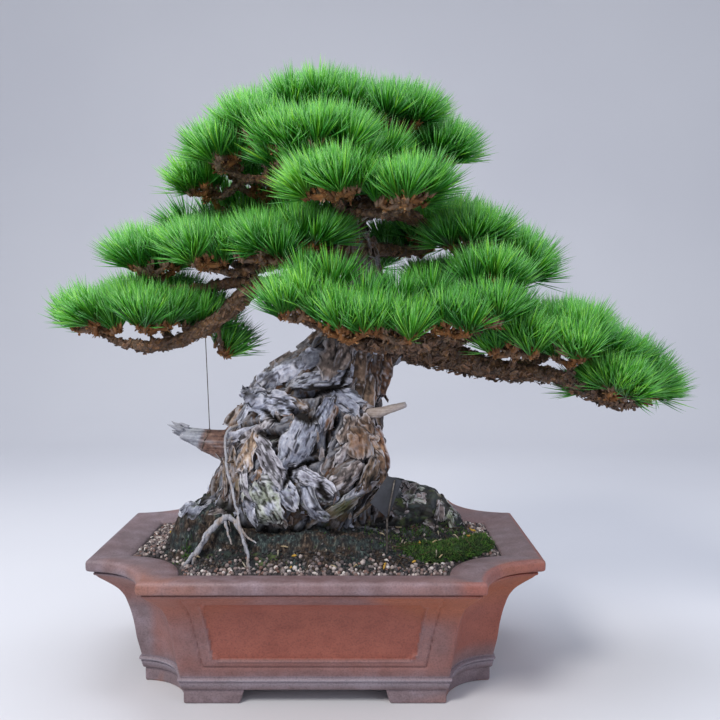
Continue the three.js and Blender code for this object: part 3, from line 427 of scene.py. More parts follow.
def grit():
    """Graded bonsai grit: dry volcanic grains in buff, grey, rust and near black."""
    material, node, place = new_material("graded_soil_grit")
    own, damp, _, _ = painted(material, "grain_tone")
    fine = node("TexNoise", {"Vector": place, "Scale": PER_METRE / 1.5, "Detail": 3, "Roughness": 0.55})
    dry, shade = (node("ValToRGB", {"Fac": source, "stops": stops}) for source, stops in (
        (own, [(0.0, "#2b292b"), (0.18, "#4e484a"), (0.34, "#73696a"), (0.5, "#8d8280"), (0.62, "#7b5a50"),
               (0.74, "#a39694"), (0.88, "#beb0aa"), (1.0, "#dcd5d2")]),
        (fine, [(0.3, 0.75), (0.7, 1.12)])))
    colour = node("Mix", {**MIX, 0: damp, 6: dry, 7: "#191b1d"}, MIXED)
    colour = node("Mix", {**MULTIPLY, 0: 1.0, 6: colour, 7: shade}, MIXED)
    return finish_material(material, colour, 0.9, [(fine, 0.0005)], IOR=1.5)


def damp_soil():
    """Damp soil and rotted bark matted together: near black, with brown crumbs and a grey-green bloom."""
    material, node, place = new_material("damp_soil_and_bark")
    drawn = node("Mapping", {"Vector": place, "Scale": (1.6, 0.7, 0.7)})
    streaks = node("TexNoise", {"Vector": drawn, "Scale": PER_METRE / 5, "Detail": 5, "Roughness": 0.7})
    blotch = node("TexNoise", {"Vector": place, "Scale": PER_METRE / 24, "Detail": 3, "Roughness": 0.55})
    dark, brown, share, rough = (node("ValToRGB", {"Fac": source, "stops": stops}) for source, stops in (
        (streaks, [(0.34, "#0f1113"), (0.46, "#20272a"), (0.56, "#35413f"), (0.68, "#66736f")]),
        (streaks, [(0.34, "#120e0c"), (0.46, "#2a211c"), (0.56, "#463a31"), (0.68, "#7d6e5f")]),
        (blotch, [(0.44, 0.0), (0.56, 1.0)]),
        (blotch, [(0.3, 0.75), (0.7, 0.95)])))
    colour = node("Mix", {**MIX, 0: share, 6: dark, 7: brown}, MIXED)
    return finish_material(material, colour, rough, [(streaks, 0.0022)], IOR=1.45)


def dropped_litter():
    """Dry fallen needles in straw brown, yellowed leaves and pale bits of root."""
    material, node, place = new_material("dry_litter")
    own, _, _, _ = painted(material, "litter_tone")
    fine = node("TexNoise", {"Vector": place, "Scale": PER_METRE / 4, "Detail": 3, "Roughness": 0.55})
    dry, shade = (node("ValToRGB", {"Fac": source, "stops": stops}) for source, stops in (
        (own, [(0.2, "#3f2e21"), (0.5, "#66503a"), (0.66, "#b98f3c"), (0.78, "#d9b24a"), (0.95, "#a39a88")]),
        (fine, [(0.3, 0.7), (0.7, 1.1)])))
    colour = node("Mix", {**MULTIPLY, 0: 1.0, 6: dry, 7: shade}, MIXED)
    return finish_material(material, colour, 0.8, [(fine, 0.0004)], IOR=1.45)


def moss_green():
    """Cushion moss: near-black green in the hollows, fresh green on the growing tips, a few brown ones."""
    material, node, place = new_material("cushion_moss")
    tip, own, _, _ = painted(material, "moss_tone")
    blotch, fine = (
        node("TexNoise", {"Vector": place, "Scale": PER_METRE / lump, "Detail": 3, "Roughness": 0.55})
        for lump in (14, 2))
    dark, light, dull = (node("ValToRGB", {"Fac": source, "stops": stops}) for source, stops in (
        (blotch, [(0.35, "#151b12"), (0.65, "#24301a")]),
        (own, [(0.0, "#2f5a1e"), (0.5, "#4f8a2c"), (0.85, "#7fa946"), (1.0, "#8a7c55")]),
        (blotch, [(0.4, 0.0), (0.62, 0.7)])))
    light = node("Mix", {**MIX, 0: dull, 6: light, 7: "#3a4a33"}, MIXED)
    colour = node("Mix", {**MIX, 0: tip, 6: dark, 7: light}, MIXED)
    return finish_material(material, colour, 0.9, [(fine, 0.001)], IOR=1.45)


def slate_plastic():
    """Weathered dark plastic label: matt, scuffed grey along its face, with faint drying marks."""
    material, node, place = new_material("weathered_dark_plastic")
    cloud, scuff = (
        node("TexNoise", {"Vector": place, "Scale": PER_METRE / lump, "Detail": detail, "Roughness": 0.55})
        for lump, detail in ((22, 4), (3, 3)))
    grey = node("ValToRGB", {"Fac": cloud, "stops": [(0.3, "#25272d"), (0.7, "#383b43")]})
    shade = node("ValToRGB", {"Fac": scuff, "stops": [(0.35, 0.85), (0.7, 1.15)]})
    colour = node("Mix", {**MULTIPLY, 0: 1.0, 6: grey, 7: shade}, MIXED)
    return finish_material(material, colour, 0.55, [(scuff, 0.0002)], IOR=1.5)


def dull_wire():
    """Annealed garden wire, dulled outdoors to a soft brown-grey."""
    material, node, place = new_material("weathered_wire")
    tarnish = node("TexNoise", {"Vector": place, "Scale": PER_METRE / 4, "Detail": 3, "Roughness": 0.55})
    colour = node("ValToRGB", {"Fac": tarnish, "stops": [(0.3, "#4d4742"), (0.7, "#7e7771")]})
    rough = node("ValToRGB", {"Fac": tarnish, "stops": [(0.3, 0.35), (0.7, 0.6)]})
    return finish_material(material, colour, rough, [(tarnish, 0.0001)], Metallic=0.8)


def screen_plastic():
    """Moulded drainage mesh: soft black polythene, dusty."""
    material, node, place = new_material("moulded_polythene")
    dust = node("TexNoise", {"Vector": place, "Scale": PER_METRE / 6, "Detail": 3, "Roughness": 0.55})
    colour = node("ValToRGB", {"Fac": dust, "stops": [(0.35, "#26282a"), (0.75, "#4a4640")]})
    return finish_material(material, colour, 0.6, [(dust, 0.0002)], IOR=1.5)


# ---- pot ----
RIM_HALF = (280.0, 200.0)
# Height, inset from the rim's rectangle and radius of the corner notch, up the outside and over the rim.
POT_PROFILE = [
    (18, 60.5, 62), (18.4, 58.6, 62), (20, 57.6, 62), (26, 56.4, 62), (27, 56, 62), (27.8, 57, 62),
    (28.6, 55.8, 62), (30.4, 54.2, 62), (31.6, 54, 62), (32.6, 55.2, 62), (33.2, 57.4, 62),
    (34.6, 56.8, 62), (57, 52.3, 63), (82, 49, 63.5), (104, 44, 65), (118, 38.8, 67), (127, 32.5, 70),
    (135, 24, 73.5), (144, 13.6, 77), (147.4, 10.4, 78.6), (148.4, 8.4, 79), (150.2, 8, 79.4),
    (151.2, 9.6, 79.8), (152.4, 6.4, 81), (153.2, 3.6, 82), (154, 1.4, 83), (155.4, 0.3, 83), (158, 0, 83),
    (163.4, 0, 83), (165.6, 0.5, 83), (167, 1.7, 83), (167.8, 3.8, 83), (168, 7, 83), (167.2, 16, 81.5),
    (165.6, 28, 79), (163.6, 40, 76), (162.2, 44.6, 74.5), (160.8, 46.4, 74), (158, 47.3, 74),
    (150, 47.8, 74), (128, 50, 74), (104, 58.5, 70), (77, 64.5, 68), (50, 67.5, 66), (31, 70, 66),
]
BODY_LOW, BODY_HIGH = 36.0, 146.5     # the stretch of the wall that carries the panel
ROW_STEP = 1.9
# Half widths at foot and top of the field and of the line, on the long and the short sides.
FIELD = {"x": ((120, 130), (133, 150)), "y": ((50, 56), (60, 68))}
FIELD_HEIGHTS = (58.0, 134.0)
LINE_HEIGHTS = (47.5, 144.0)
FIELD_DEPTH = 2.6
FIELD_NOTCH = 7.0
LINE_DEPTH = 2.0
LINE_WIDTH = 1.3
COLUMN_STEP = 1.85
PANEL_REACH = (153.0, 70.0)           # where the close columns end on a long and on a short side
EDGE_STEP = 1.6                       # columns beside the sharp corners
EDGE_STEPS = 7
NOTCH_STEPS = 12                      # columns in the middle of a notch
CORNER_SOFTENING = 3
RIM_ROWS = 9                          # rows under the top that count as the rim
FOOT_TOP, FOOT_INSET, FOOT_NOTCH, FOOT_THICK = 19.0, 60.5, 62.0, 16.0
FOOT_ENDS = (84.0, 30.0)
FOOT_SLANT = 6.0
DRAIN_X, DRAIN_RADIUS, DRAIN_CUT = 110.0, 14.0, 30.0


def pot_levels():
    """The profile with close rows wherever the panel's lines have to show."""
    table = np.array(POT_PROFILE)
    top = int(np.argmax(table[:, 0] >= 144))
    foot = int(np.argmax(table[:, 0] > 34))
    low, wall, high = table[:foot + 1], table[foot:top + 1], table[top:]
    heights = np.arange(wall[0, 0] + ROW_STEP, wall[-1, 0] - 0.2, ROW_STEP)
    # A rounded curve through the wall's rows, so that the hollow under the lip has no facets.
    cubic = np.stack([smooth_through(wall[:, 0], wall[:, k], heights) for k in (1, 2)], axis=1)
    middle = np.column_stack([heights, cubic])
    return np.vstack([low, middle, high])


def smooth_through(x, y, wanted):
    """Values of a soft curve through points, with slopes taken from the neighbours."""
    slope = np.gradient(y, x)
    i = np.clip(np.searchsorted(x, wanted) - 1, 0, len(x) - 2)
    span = x[i + 1] - x[i]
    t = (wanted - x[i]) / span
    return ((2 * t**3 - 3 * t**2 + 1) * y[i] + (t**3 - 2 * t**2 + t) * span * slope[i]
            + (3 * t**2 - 2 * t**3) * y[i + 1] + (t**3 - t**2) * span * slope[i + 1])


def pot_ring(inset, notch):
    """One level of the pot seen from above: a rectangle whose corners are scooped by quarter circles, with
    close columns beside its sharp turns, which are then softened."""
    half = np.array(RIM_HALF) - inset
    corners = [((1, 1), (0, 1), (-1, 0)), ((-1, 1), (-1, 0), (0, -1)),
               ((-1, -1), (0, -1), (1, 0)), ((1, -1), (1, 0), (0, 1))]
    close = np.arange(EDGE_STEPS) * EDGE_STEP
    ring = []
    for sign, arriving, leaving in corners:
        corner = half * sign
        arriving, leaving = np.array(arriving), np.array(leaving)
        arc = notch * math.pi / 2
        middle = np.linspace(close[-1], arc - close[-1], NOTCH_STEPS + 2)[1:-1]
        turn = np.concatenate([close, middle, (arc - close)[::-1]]) / notch
        ring += [corner - arriving * notch * math.cos(a) + leaving * notch * math.sin(a) for a in turn]
        along_x = leaving[0] != 0
        side = half[0] if along_x else half[1]
        fine = PANEL_REACH[0] if along_x else PANEL_REACH[1]
        straight = side - notch
        inner = np.arange(-fine, fine + COLUMN_STEP / 2, COLUMN_STEP)
        bridge = np.linspace(fine, straight - close[-1], 4)[1:-1]
        outer = np.concatenate([bridge, (straight - close[1:])[::-1]])
        reach = np.concatenate([-outer[::-1], inner, outer])
        ring += [corner + leaving * (side + r) for r in reach]
    ring = np.array(ring)
    for _ in range(CORNER_SOFTENING):
        ring = (np.roll(ring, 1, 0) + 2 * ring + np.roll(ring, -1, 0)) / 4
    return ring


def panel_relief(side, across, height):
    """How far the wall lies back at a place: the sunk field with its notched corners and raised bead, and
    the cut line round it."""
    field, line = FIELD[side]

    def inside(widths, heights):
        share = (height - heights[0]) / (heights[1] - heights[0])
        wide = widths[0] + (widths[1] - widths[0]) * share
        return np.minimum(wide - np.abs(across), np.minimum(height - heights[0], heights[1] - height))

    in_field = inside(field, FIELD_HEIGHTS)
    for heights, wide in zip(FIELD_HEIGHTS, field):
        corner = np.hypot(np.abs(across) - wide, height - heights) - FIELD_NOTCH
        in_field = np.minimum(in_field, corner)
    in_line = inside(line, LINE_HEIGHTS)
    groove = np.exp(-(in_line / LINE_WIDTH) ** 2)
    bead = np.exp(-((in_field + 2.2) / 1.3) ** 2) * 1.3 + np.exp(-((in_line - 3.2) / 1.3) ** 2) * 0.7
    return FIELD_DEPTH * steps(in_field, -0.9, 0.9) + LINE_DEPTH * groove - bead


def make_pot(material):
    levels = pot_levels()
    rings = [pot_ring(inset, notch) for _, inset, notch in levels]
    count = len(rings[0])
    points = [np.column_stack([ring, np.full(count, level[0])]) for ring, level in zip(rings, levels)]
    outer = int(np.argmax(levels[:, 0]))
    body = np.repeat(np.arange(len(levels)) < outer, count)
    flat = np.vstack(points)
    on_body = body & (flat[:, 2] > BODY_LOW) & (flat[:, 2] < BODY_HIGH)
    inset = np.repeat(levels[:, 1], count)
    drawn_in = np.zeros(len(flat))
    for axis, side in ((1, "x"), (0, "y")):
        face = on_body & (np.abs(np.abs(flat[:, axis]) - (RIM_HALF[axis] - inset)) < 0.4)
        face &= np.abs(flat[:, 1 - axis]) < RIM_HALF[1 - axis] - inset - 66
        back = panel_relief(side, flat[face, 1 - axis], flat[face, 2])
        flat[face, axis] -= np.sign(flat[face, axis]) * back
        drawn_in[face] = back
    # Hand-finished clay is never dead true.
    way = flat / np.maximum(1, np.linalg.norm(flat[:, :2], axis=1))[:, None]
    sway = 0.8 * (layered_noise(flat, (90, 90, 60), 31) - 0.5) + 0.35 * (layered_noise(flat, 16, 37) - 0.5)
    flat[:, :2] += way[:, :2] * np.where(inset < 2, -np.abs(sway), sway)[:, None]
    faces = []
    for i in range(len(levels) - 1):
        a = i * count + np.arange(count)
        b = i * count + (np.arange(count) + 1) % count
        faces.append(np.column_stack([a, b, b + count, a + count]))
    faces = [tuple(f) for f in np.vstack(faces)]
    faces.append(tuple(range(count))[::-1])
    faces.append(tuple((len(levels) - 1) * count + k for k in range(count)))
    pot = piece_from("pot_body", at(flat), faces)

    x, height = flat[:, 0], flat[:, 2]
    rim_zone = np.repeat(np.arange(len(levels)) >= outer - RIM_ROWS, count)
    corner_way = np.abs(x) / RIM_HALF[0] + np.abs(flat[:, 1]) / RIM_HALF[1]
    # Painted shade: the right end and the hollows under the lip at the notches, more on the right, lose their
    # grey and turn red and orange, as they look in shade.
    right_end = body * steps(x, 150, 180) * steps(height, 44, 60)
    cove = body * steps(height, 96, 128) * (1 - steps(height, 146, 150)) * steps(corner_way, 1.1, 1.25)
    cove *= 0.45 + 0.55 * steps(x, -80, 60)
    on_front = body & (np.abs(x) < np.interp(height, FIELD_HEIGHTS, FIELD["x"][0]))
    on_front &= (height > FIELD_HEIGHTS[0]) & (height < FIELD_HEIGHTS[1])
    greyness = np.maximum(rim_zone * 0.62, steps(52 - height, 0, 30) * 0.75)
    greyness = np.maximum(greyness, steps(-x, 196, 215) * 0.75 * body)
    greyness = np.clip(greyness + 0.3 + 0.8 * (layered_noise(flat, (120, 120, 40), 3) - 0.5), 0, 1)
    greyness *= (1 - 0.9 * on_front) * (1 - 0.85 * cove) * (1 - 0.8 * right_end)
    orange_share = rim_zone * steps(corner_way, 1.25, 1.62) * steps(layered_noise(flat, 50, 5), 0.4, 0.62)
    # Painted highlight: pale lines along the lip, the ledge and the band above the feet, and on the panel's
    # raised bead.
    lip = np.exp(-((height - 166.6) / 1.4) ** 2) * (inset < 5)
    ledge = np.exp(-((height - 31.4) / 0.9) ** 2) * body
    bead = steps(-drawn_in, 0.5, 1.1) * 0.12
    band = steps(height, 24, 26) * (1 - steps(height, 34, 37)) * (inset > 5)
    edge = np.clip(0.2 * lip + 0.7 * ledge + 0.7 * band + bead, 0, 1)
    edge *= 0.55 + 0.45 * soft_noise(flat, 30, 8)
    red = np.maximum(np.maximum(on_front * 0.85, cove), 0.8 * right_end)
    paint(pot, "pot_wear", [greyness, 0.5 * orange_share + 0.5 * cove, edge, red])

    for x in (-DRAIN_X, DRAIN_X):
        drain = primitive("cylinder", vertices=32, radius=DRAIN_RADIUS * MM, depth=DRAIN_CUT * MM,
                          location=at([x, 0, 24]).tolist())
        bpy.ops.object.transform_apply(location=True, rotation=True, scale=True)
        apply_modifier(pot, "BOOLEAN", object=drain, operation="DIFFERENCE", solver="FAST")
        bpy.data.objects.remove(drain)
    smooth_by_angle(pot, 50)
    return dress(pot, material, "pot_stoneware", "pot")


def make_pot_feet(material):
    """Four bracket feet that wrap the scooped corners, cut back at their ends, with softened edges."""
    half = np.array(RIM_HALF) - FOOT_INSET
    points, faces = [], []
    for sx, sy in itertools.product((-1, 1), repeat=2):
        long_end, short_end = FOOT_ENDS
        wide = FOOT_NOTCH + FOOT_THICK
        near = [(FOOT_NOTCH * math.cos(a), FOOT_NOTCH * math.sin(a)) for a in np.linspace(0, math.pi / 2, 15)]
        start = math.asin(FOOT_THICK / wide)
        far = [(wide * math.cos(a), wide * math.sin(a)) for a in np.linspace(math.pi / 2 - start, start, 15)]
        reach_x, reach_y = half[0] - long_end, half[1] - short_end
        plan = [(reach_x, 0.0), *near, (0.0, reach_y), (FOOT_THICK, reach_y), *far, (reach_x, FOOT_THICK)]
        ends = [p[0] > reach_x - 1 for p in plan], [p[1] > reach_y - 1 for p in plan]
        for height, lean in ((FOOT_TOP, 0.0), (0.0, FOOT_SLANT)):
            for k, (back, aside) in enumerate(plan):
                back -= lean * ends[0][k]
                aside -= lean * ends[1][k]
                points.append((sx * (half[0] - back), sy * (half[1] - aside), height))
        count = len(plan)
        base = len(points) - 2 * count
        turned = sx * sy < 0
        loops = [tuple(base + k for k in range(count)), tuple(base + count + k for k in range(count))[::-1]]
        loops += [(base + k, base + count + k, base + count + (k + 1) % count, base + (k + 1) % count)
                  for k in range(count)]
        faces += [loop[::-1] if turned else loop for loop in loops]
    feet = piece_from("pot_feet", at(points), faces, smooth=False)
    with edit_mode(feet):
        bpy.ops.mesh.normals_make_consistent(inside=False)
    apply_modifier(feet, "BEVEL", width=2.4 * MM, segments=3, limit_method="ANGLE",
                   angle_limit=math.radians(40))
    smooth_by_angle(feet, 40)
    place = from_frame(points_of(feet))
    chips = steps(layered_noise(place, (9, 9, 5), 71), 0.6, 0.7) * steps(6 - place[:, 2], 0, 5)
    paint(feet, "pot_wear", [0.95, 0.9 * chips, 0.12, 0.0])
    return dress(feet, material, "pot_stoneware", "pot")


# ---- scattering ----
def shape_arrays(piece):
    """A modelled piece's points and triangles, after which the piece is put away."""
    with edit_mode(piece):
        bpy.ops.mesh.quads_convert_to_tris()
        bpy.ops.mesh.normals_make_consistent(inside=False)
    points = points_of(piece)
    faces = np.array([tuple(p.vertices) for p in piece.data.polygons])
    bpy.data.objects.remove(piece)
    return points, faces


def mesh_of_copies(name, points, faces, smooth=True):
    """One piece from many copies: points is (copies, points, 3) in millimetres, faces the shape's own."""
    copies, count, _ = points.shape
    mesh = bpy.data.meshes.new(name)
    all_points = at(points.reshape(-1, 3))
    corners = (faces[None] + (np.arange(copies) * count)[:, None, None]).reshape(-1, 3)
    mesh.vertices.add(len(all_points))
    mesh.vertices.foreach_set("co", all_points.ravel())
    mesh.loops.add(corners.size)
    mesh.loops.foreach_set("vertex_index", corners.ravel())
    mesh.polygons.add(len(corners))
    mesh.polygons.foreach_set("loop_start", np.arange(0, corners.size, 3))
    mesh.polygons.foreach_set("loop_total", np.full(len(corners), 3))
    mesh.update(calc_edges=True)
    mesh.validate()
    mesh.polygons.foreach_set("use_smooth", np.full(len(mesh.polygons), smooth))
    return in_scene(name, mesh)


def unit(vectors):
    return vectors / np.maximum(1e-9, np.linalg.norm(vectors, axis=-1, keepdims=True))


def frames_along(way, spin):
    """Three directions for each copy: two square to its way, turned by spin, and the way itself."""
    way = unit(way)
    help_way = np.where(np.abs(way[:, 2:3]) < 0.9, np.array([[0.0, 0.0, 1.0]]), np.array([[1.0, 0.0, 0.0]]))
    across = unit(np.cross(help_way, way))
    over = np.cross(way, across)
    c, s = np.cos(spin)[:, None], np.sin(spin)[:, None]
    return np.stack([across * c + over * s, over * c - across * s, way], axis=1)


def copies_of(base, sizes, frames, places):
    """The points of a shape's copies, each with its own sizes along its own three directions."""
    return np.einsum("pk,nk,nkd->npd", base, sizes, frames) + places[:, None]


def fan_out(frames, turn):
    """A direction square to each frame's way, turned about it."""
    return frames[:, 0] * np.cos(turn)[:, None] + frames[:, 1] * np.sin(turn)[:, None]


def leant(frames, aside, lean):
    return frames[:, 2] * np.cos(lean)[:, None] + aside * np.sin(lean)[:, None]


# ---- foliage ----
# Middle of the surface that a spray's needles stand on, and its two half widths.
SPRAYS = {
    "crown_top": (4, 2, 735, 66, 58), "crown_left": (-73, -15, 703, 52, 52),
    "crown_right": (96, 0, 717, 56, 54), "crown_back": (11, 95, 730, 80, 42),
    "crown_front": (0, -74, 678, 66, 40), "crown_far_left": (-124, -20, 669, 36, 40),
    "crown_low_left": (-153, 24, 637, 28, 34), "crown_far_right": (157, 5, 677, 34, 46),
    "front_high_left": (24, -100, 622, 44, 40), "front_high_right": (112, -92, 613, 44, 40),
    "back_high": (69, 110, 644, 66, 38), "left_mid_end": (-218, -25, 533, 40, 42),
    "left_mid_outer": (-144, -48, 541, 42, 42), "left_mid_inner": (-69, -55, 548, 42, 42),
    "left_mid_trunk": (-6, -48, 567, 36, 34), "left_mid_back": (-135, 62, 560, 66, 42),
    "left_low_end": (-287, -25, 459, 42, 42), "left_low_mid": (-214, -45, 461, 40, 40),
    "left_low_inner": (-160, -8, 459, 32, 34), "left_low_back": (-226, 47, 482, 58, 40),
    "left_low_tuft": (-128, 6, 428, 13, 13), "right_mid_inner": (196, -16, 563, 38, 40),
    "right_mid_end": (272, 22, 535, 34, 40), "right_mid_back": (167, 92, 588, 58, 42),
    "right_front": (220, -75, 471, 40, 36), "right_low_inner": (251, -50, 430, 38, 42),
    "right_low_mid": (327, -40, 420, 38, 42), "right_low_end": (384, -18, 372, 40, 42),
    "right_low_tip": (446, 26, 362, 26, 36), "right_low_back": (338, 60, 438, 66, 42),
    "front_low_left": (-20, -110, 477, 34, 32), "front_low_mid": (36, -124, 455, 36, 32),
    "front_low_right": (98, -116, 452, 38, 32), "front_low_far_right": (164, -98, 459, 34, 32),
    "back_mid": (32, 137, 542, 66, 38), "back_right": (188, 118, 507, 58, 38),
}
# Clusters that grow from the limbs between the sprays and close the gaps behind them.
INNER_CLUSTERS = {
    "crown_low_left": [(-118, 50, 650), (-90, 55, 640), (-62, 50, 632), (-30, 50, 640), (-100, 66, 668),
                       (-64, 60, 666), (-134, 84, 612), (-108, 90, 608), (-80, 92, 608), (-52, 90, 610)],
    "crown_right": [(95, 45, 668), (122, 45, 662), (148, 45, 666), (70, 40, 676)],
    "left_mid_back": [(-190, 70, 580), (-150, 75, 585), (-105, 75, 588), (-60, 75, 590), (-15, 75, 588),
                      (25, 70, 592)],
    "right_mid_back": [(92, 104, 560), (118, 108, 556), (142, 104, 552)],
    "right_front": [(196, -70, 500), (218, -78, 506), (238, -66, 498), (208, -50, 508)],
    "right_low_mid": [(300, -40, 438), (320, -34, 442), (338, -50, 434)],
    "right_low_end": [(352, -24, 412), (372, -16, 408), (392, -10, 402)],
    "right_low_tip": [(410, 4, 396), (427, 12, 388), (443, 18, 376)],
    "front_low_mid": [(-12, -90, 494), (22, -100, 494), (62, -104, 472), (102, -100, 472), (140, -88, 478)],
    "crown_front": [(-48, -62, 652), (-14, -78, 646), (52, -84, 644), (84, -66, 652)],
}
SPRAY_DROP = 16.0             # from a spray's middle down to the limb that carries it
SPRAY_DOME = 9.0
CLUSTER_GROUND = 700.0        # ground that each cluster of shoots takes up, in mm2
CLUSTER_INSET = 9.0
CLUSTER_SHOOTS = 6
CLUSTER_FAN = 0.36            # lean of a cluster's outer shoots
SHOOTS_APART = 7.5
EDGE_LEAN = 0.66              # lean of the clusters at a tier's edge
CROWDING, CROWDING_UP = 52.0, 42.0      # how far off, aside and up, other clusters make one lean away
FULL_SPREAD = 24.0            # crowding at which the lean is full
DEEP_LEAN = 0.7               # share of the lean that is kept towards the front and the back
# Sprays whose needles open wider, or stand closer, than the others.
SPRAY_OPEN = {"right_low_tip": 1.75, "right_low_end": 1.45, "left_low_tuft": 1.9, "crown_low_left": 1.15,
              "crown_far_left": 1.1, "left_low_end": 0.95, "right_mid_end": 1.2, "front_low_left": 0.8,
              "front_low_mid": 0.7, "front_low_right": 0.7, "crown_front": 0.85, "left_mid_inner": 0.8}
SHOOT_LONG = 10.0
SHOOT_SUNK = 8.0              # a cluster's base under the surface that its needles stand on
PAIRS = 18                    # needles come in pairs from one sheath
PAIR_PARTS = 0.09             # how far each needle of a pair leans from the pair's own way
FEWER_PAIRS = {"left_low_tuft": 8}
NEEDLE_LONG = (35.0, 54.0)
SHORTEST = 0.6                # needles cut shorter than this share of the least length are left out
NEEDLE_HALF = 0.66
NEEDLE_SPREAD = (0.62, 0.05)  # lean from the shoot's own way at its foot and at its tip
EDGE_OF_ROOM = 1.0            # kept clear inside the frame's box
SCALES_PER_SEAT = 6


def needle_shape():
    """One needle a unit long, drawn out of a three-sided start in two stretches to a point."""
    piece = primitive("circle", vertices=3, radius=1.0, fill_type="NGON")
    with edit_mode(piece):
        for rise, width in ((0.55, 1.0), (0.45, 0.02)):
            bpy.ops.mesh.extrude_region_move(TRANSFORM_OT_translate={"value": (0, 0, rise)})
            bpy.ops.transform.resize(value=(width, width, 1))
        bpy.ops.mesh.merge(type="CENTER")
    points, faces = shape_arrays(piece)
    points[:, 2] -= points[:, 2].min()
    return points, faces


def clusters_of(name, random):
    """Where a spray's clusters of shoots stand and lean, close together over its dome."""
    x, y, z, half_x, half_y = SPRAYS[name]
    count = max(3, round(math.pi * half_x * half_y / CLUSTER_GROUND))
    k = np.arange(count)
    away = np.sqrt((k + 0.5) / count)
    azimuth = k * GOLDEN + random.random() * 2 * math.pi + random.normal(0, 0.12, count)
    inset = min(CLUSTER_INSET, half_x * 0.5)
    rise = SPRAY_DOME * (0.6 - away**2) - SHOOT_SUNK + random.normal(0, 3.2, count)
    base = np.column_stack([x + np.cos(azimuth) * away * (half_x - inset),
                            y + np.sin(azimuth) * away * (half_y - inset), z + rise])
    return np.vstack([base, INNER_CLUSTERS[name]]) if name in INNER_CLUSTERS else base


def leans_of(all_bases, random):
    """Each cluster leans away from the clusters near it, so that only the outer ones of a tier spread."""
    middle = np.vstack(list(all_bases.values()))
    result = {}
    for name, base in all_bases.items():
        away = base[:, None] - middle[None]
        flat = np.linalg.norm(away[:, :, :2], axis=2)
        weight = np.exp(-((flat / CROWDING) ** 2) - (away[:, :, 2] / CROWDING_UP) ** 2)
        mean = (away[:, :, :2] * weight[:, :, None]).sum(axis=1) / weight.sum(axis=1)[:, None]
        size = np.linalg.norm(mean, axis=1)
        lean = EDGE_LEAN * SPRAY_OPEN.get(name, 1.0) * np.clip(size / FULL_SPREAD, 0, 1)
        side = mean / np.maximum(size, 1e-6)[:, None] * np.sin(lean)[:, None]
        side += random.normal(0, 0.15, mean.shape)
        side[:, 1] *= DEEP_LEAN
        result[name] = unit(np.column_stack([side, np.cos(lean)]))
    return result


def shoots_of(base, axis, random):
    """Each cluster's shoots: one along its own way and the rest in a fan about it."""
    count = len(base) * CLUSTER_SHOOTS
    owner = np.repeat(np.arange(len(base)), CLUSTER_SHOOTS)
    place = np.tile(np.arange(CLUSTER_SHOOTS), len(base))
    frames = frames_along(axis, random.random(len(base)) * ROUND)[owner]
    turn = place * 2 * math.pi / (CLUSTER_SHOOTS - 1) + random.normal(0, 0.25, count)
    fan = np.where(place == 0, 0.0, CLUSTER_FAN * random.uniform(0.7, 1.3, count))
    aside = fan_out(frames, turn)
    way = leant(frames, aside, fan)
    apart = np.where(place == 0, 0, SHOOTS_APART) * random.uniform(0.6, 1.2, count)
    root = base[owner] + aside * apart[:, None]
    root += frames[:, 2] * random.uniform(-3, 4, count)[:, None]
    return root, unit(way), owner


def room_share(foot, tip):
    """How much of the way from foot to tip stays inside the frame's box."""
    low, high = from_frame(CAD_BOX[0]) + EDGE_OF_ROOM, from_frame(CAD_BOX[1]) - EDGE_OF_ROOM
    run = tip - foot
    limit = np.where(run > 0, high - foot, low - foot)
    share = np.where(np.abs(run) > 1e-6, limit / np.where(np.abs(run) > 1e-6, run, 1), 9.0)
    return np.clip(share.min(axis=1), 0.0, 1.0)


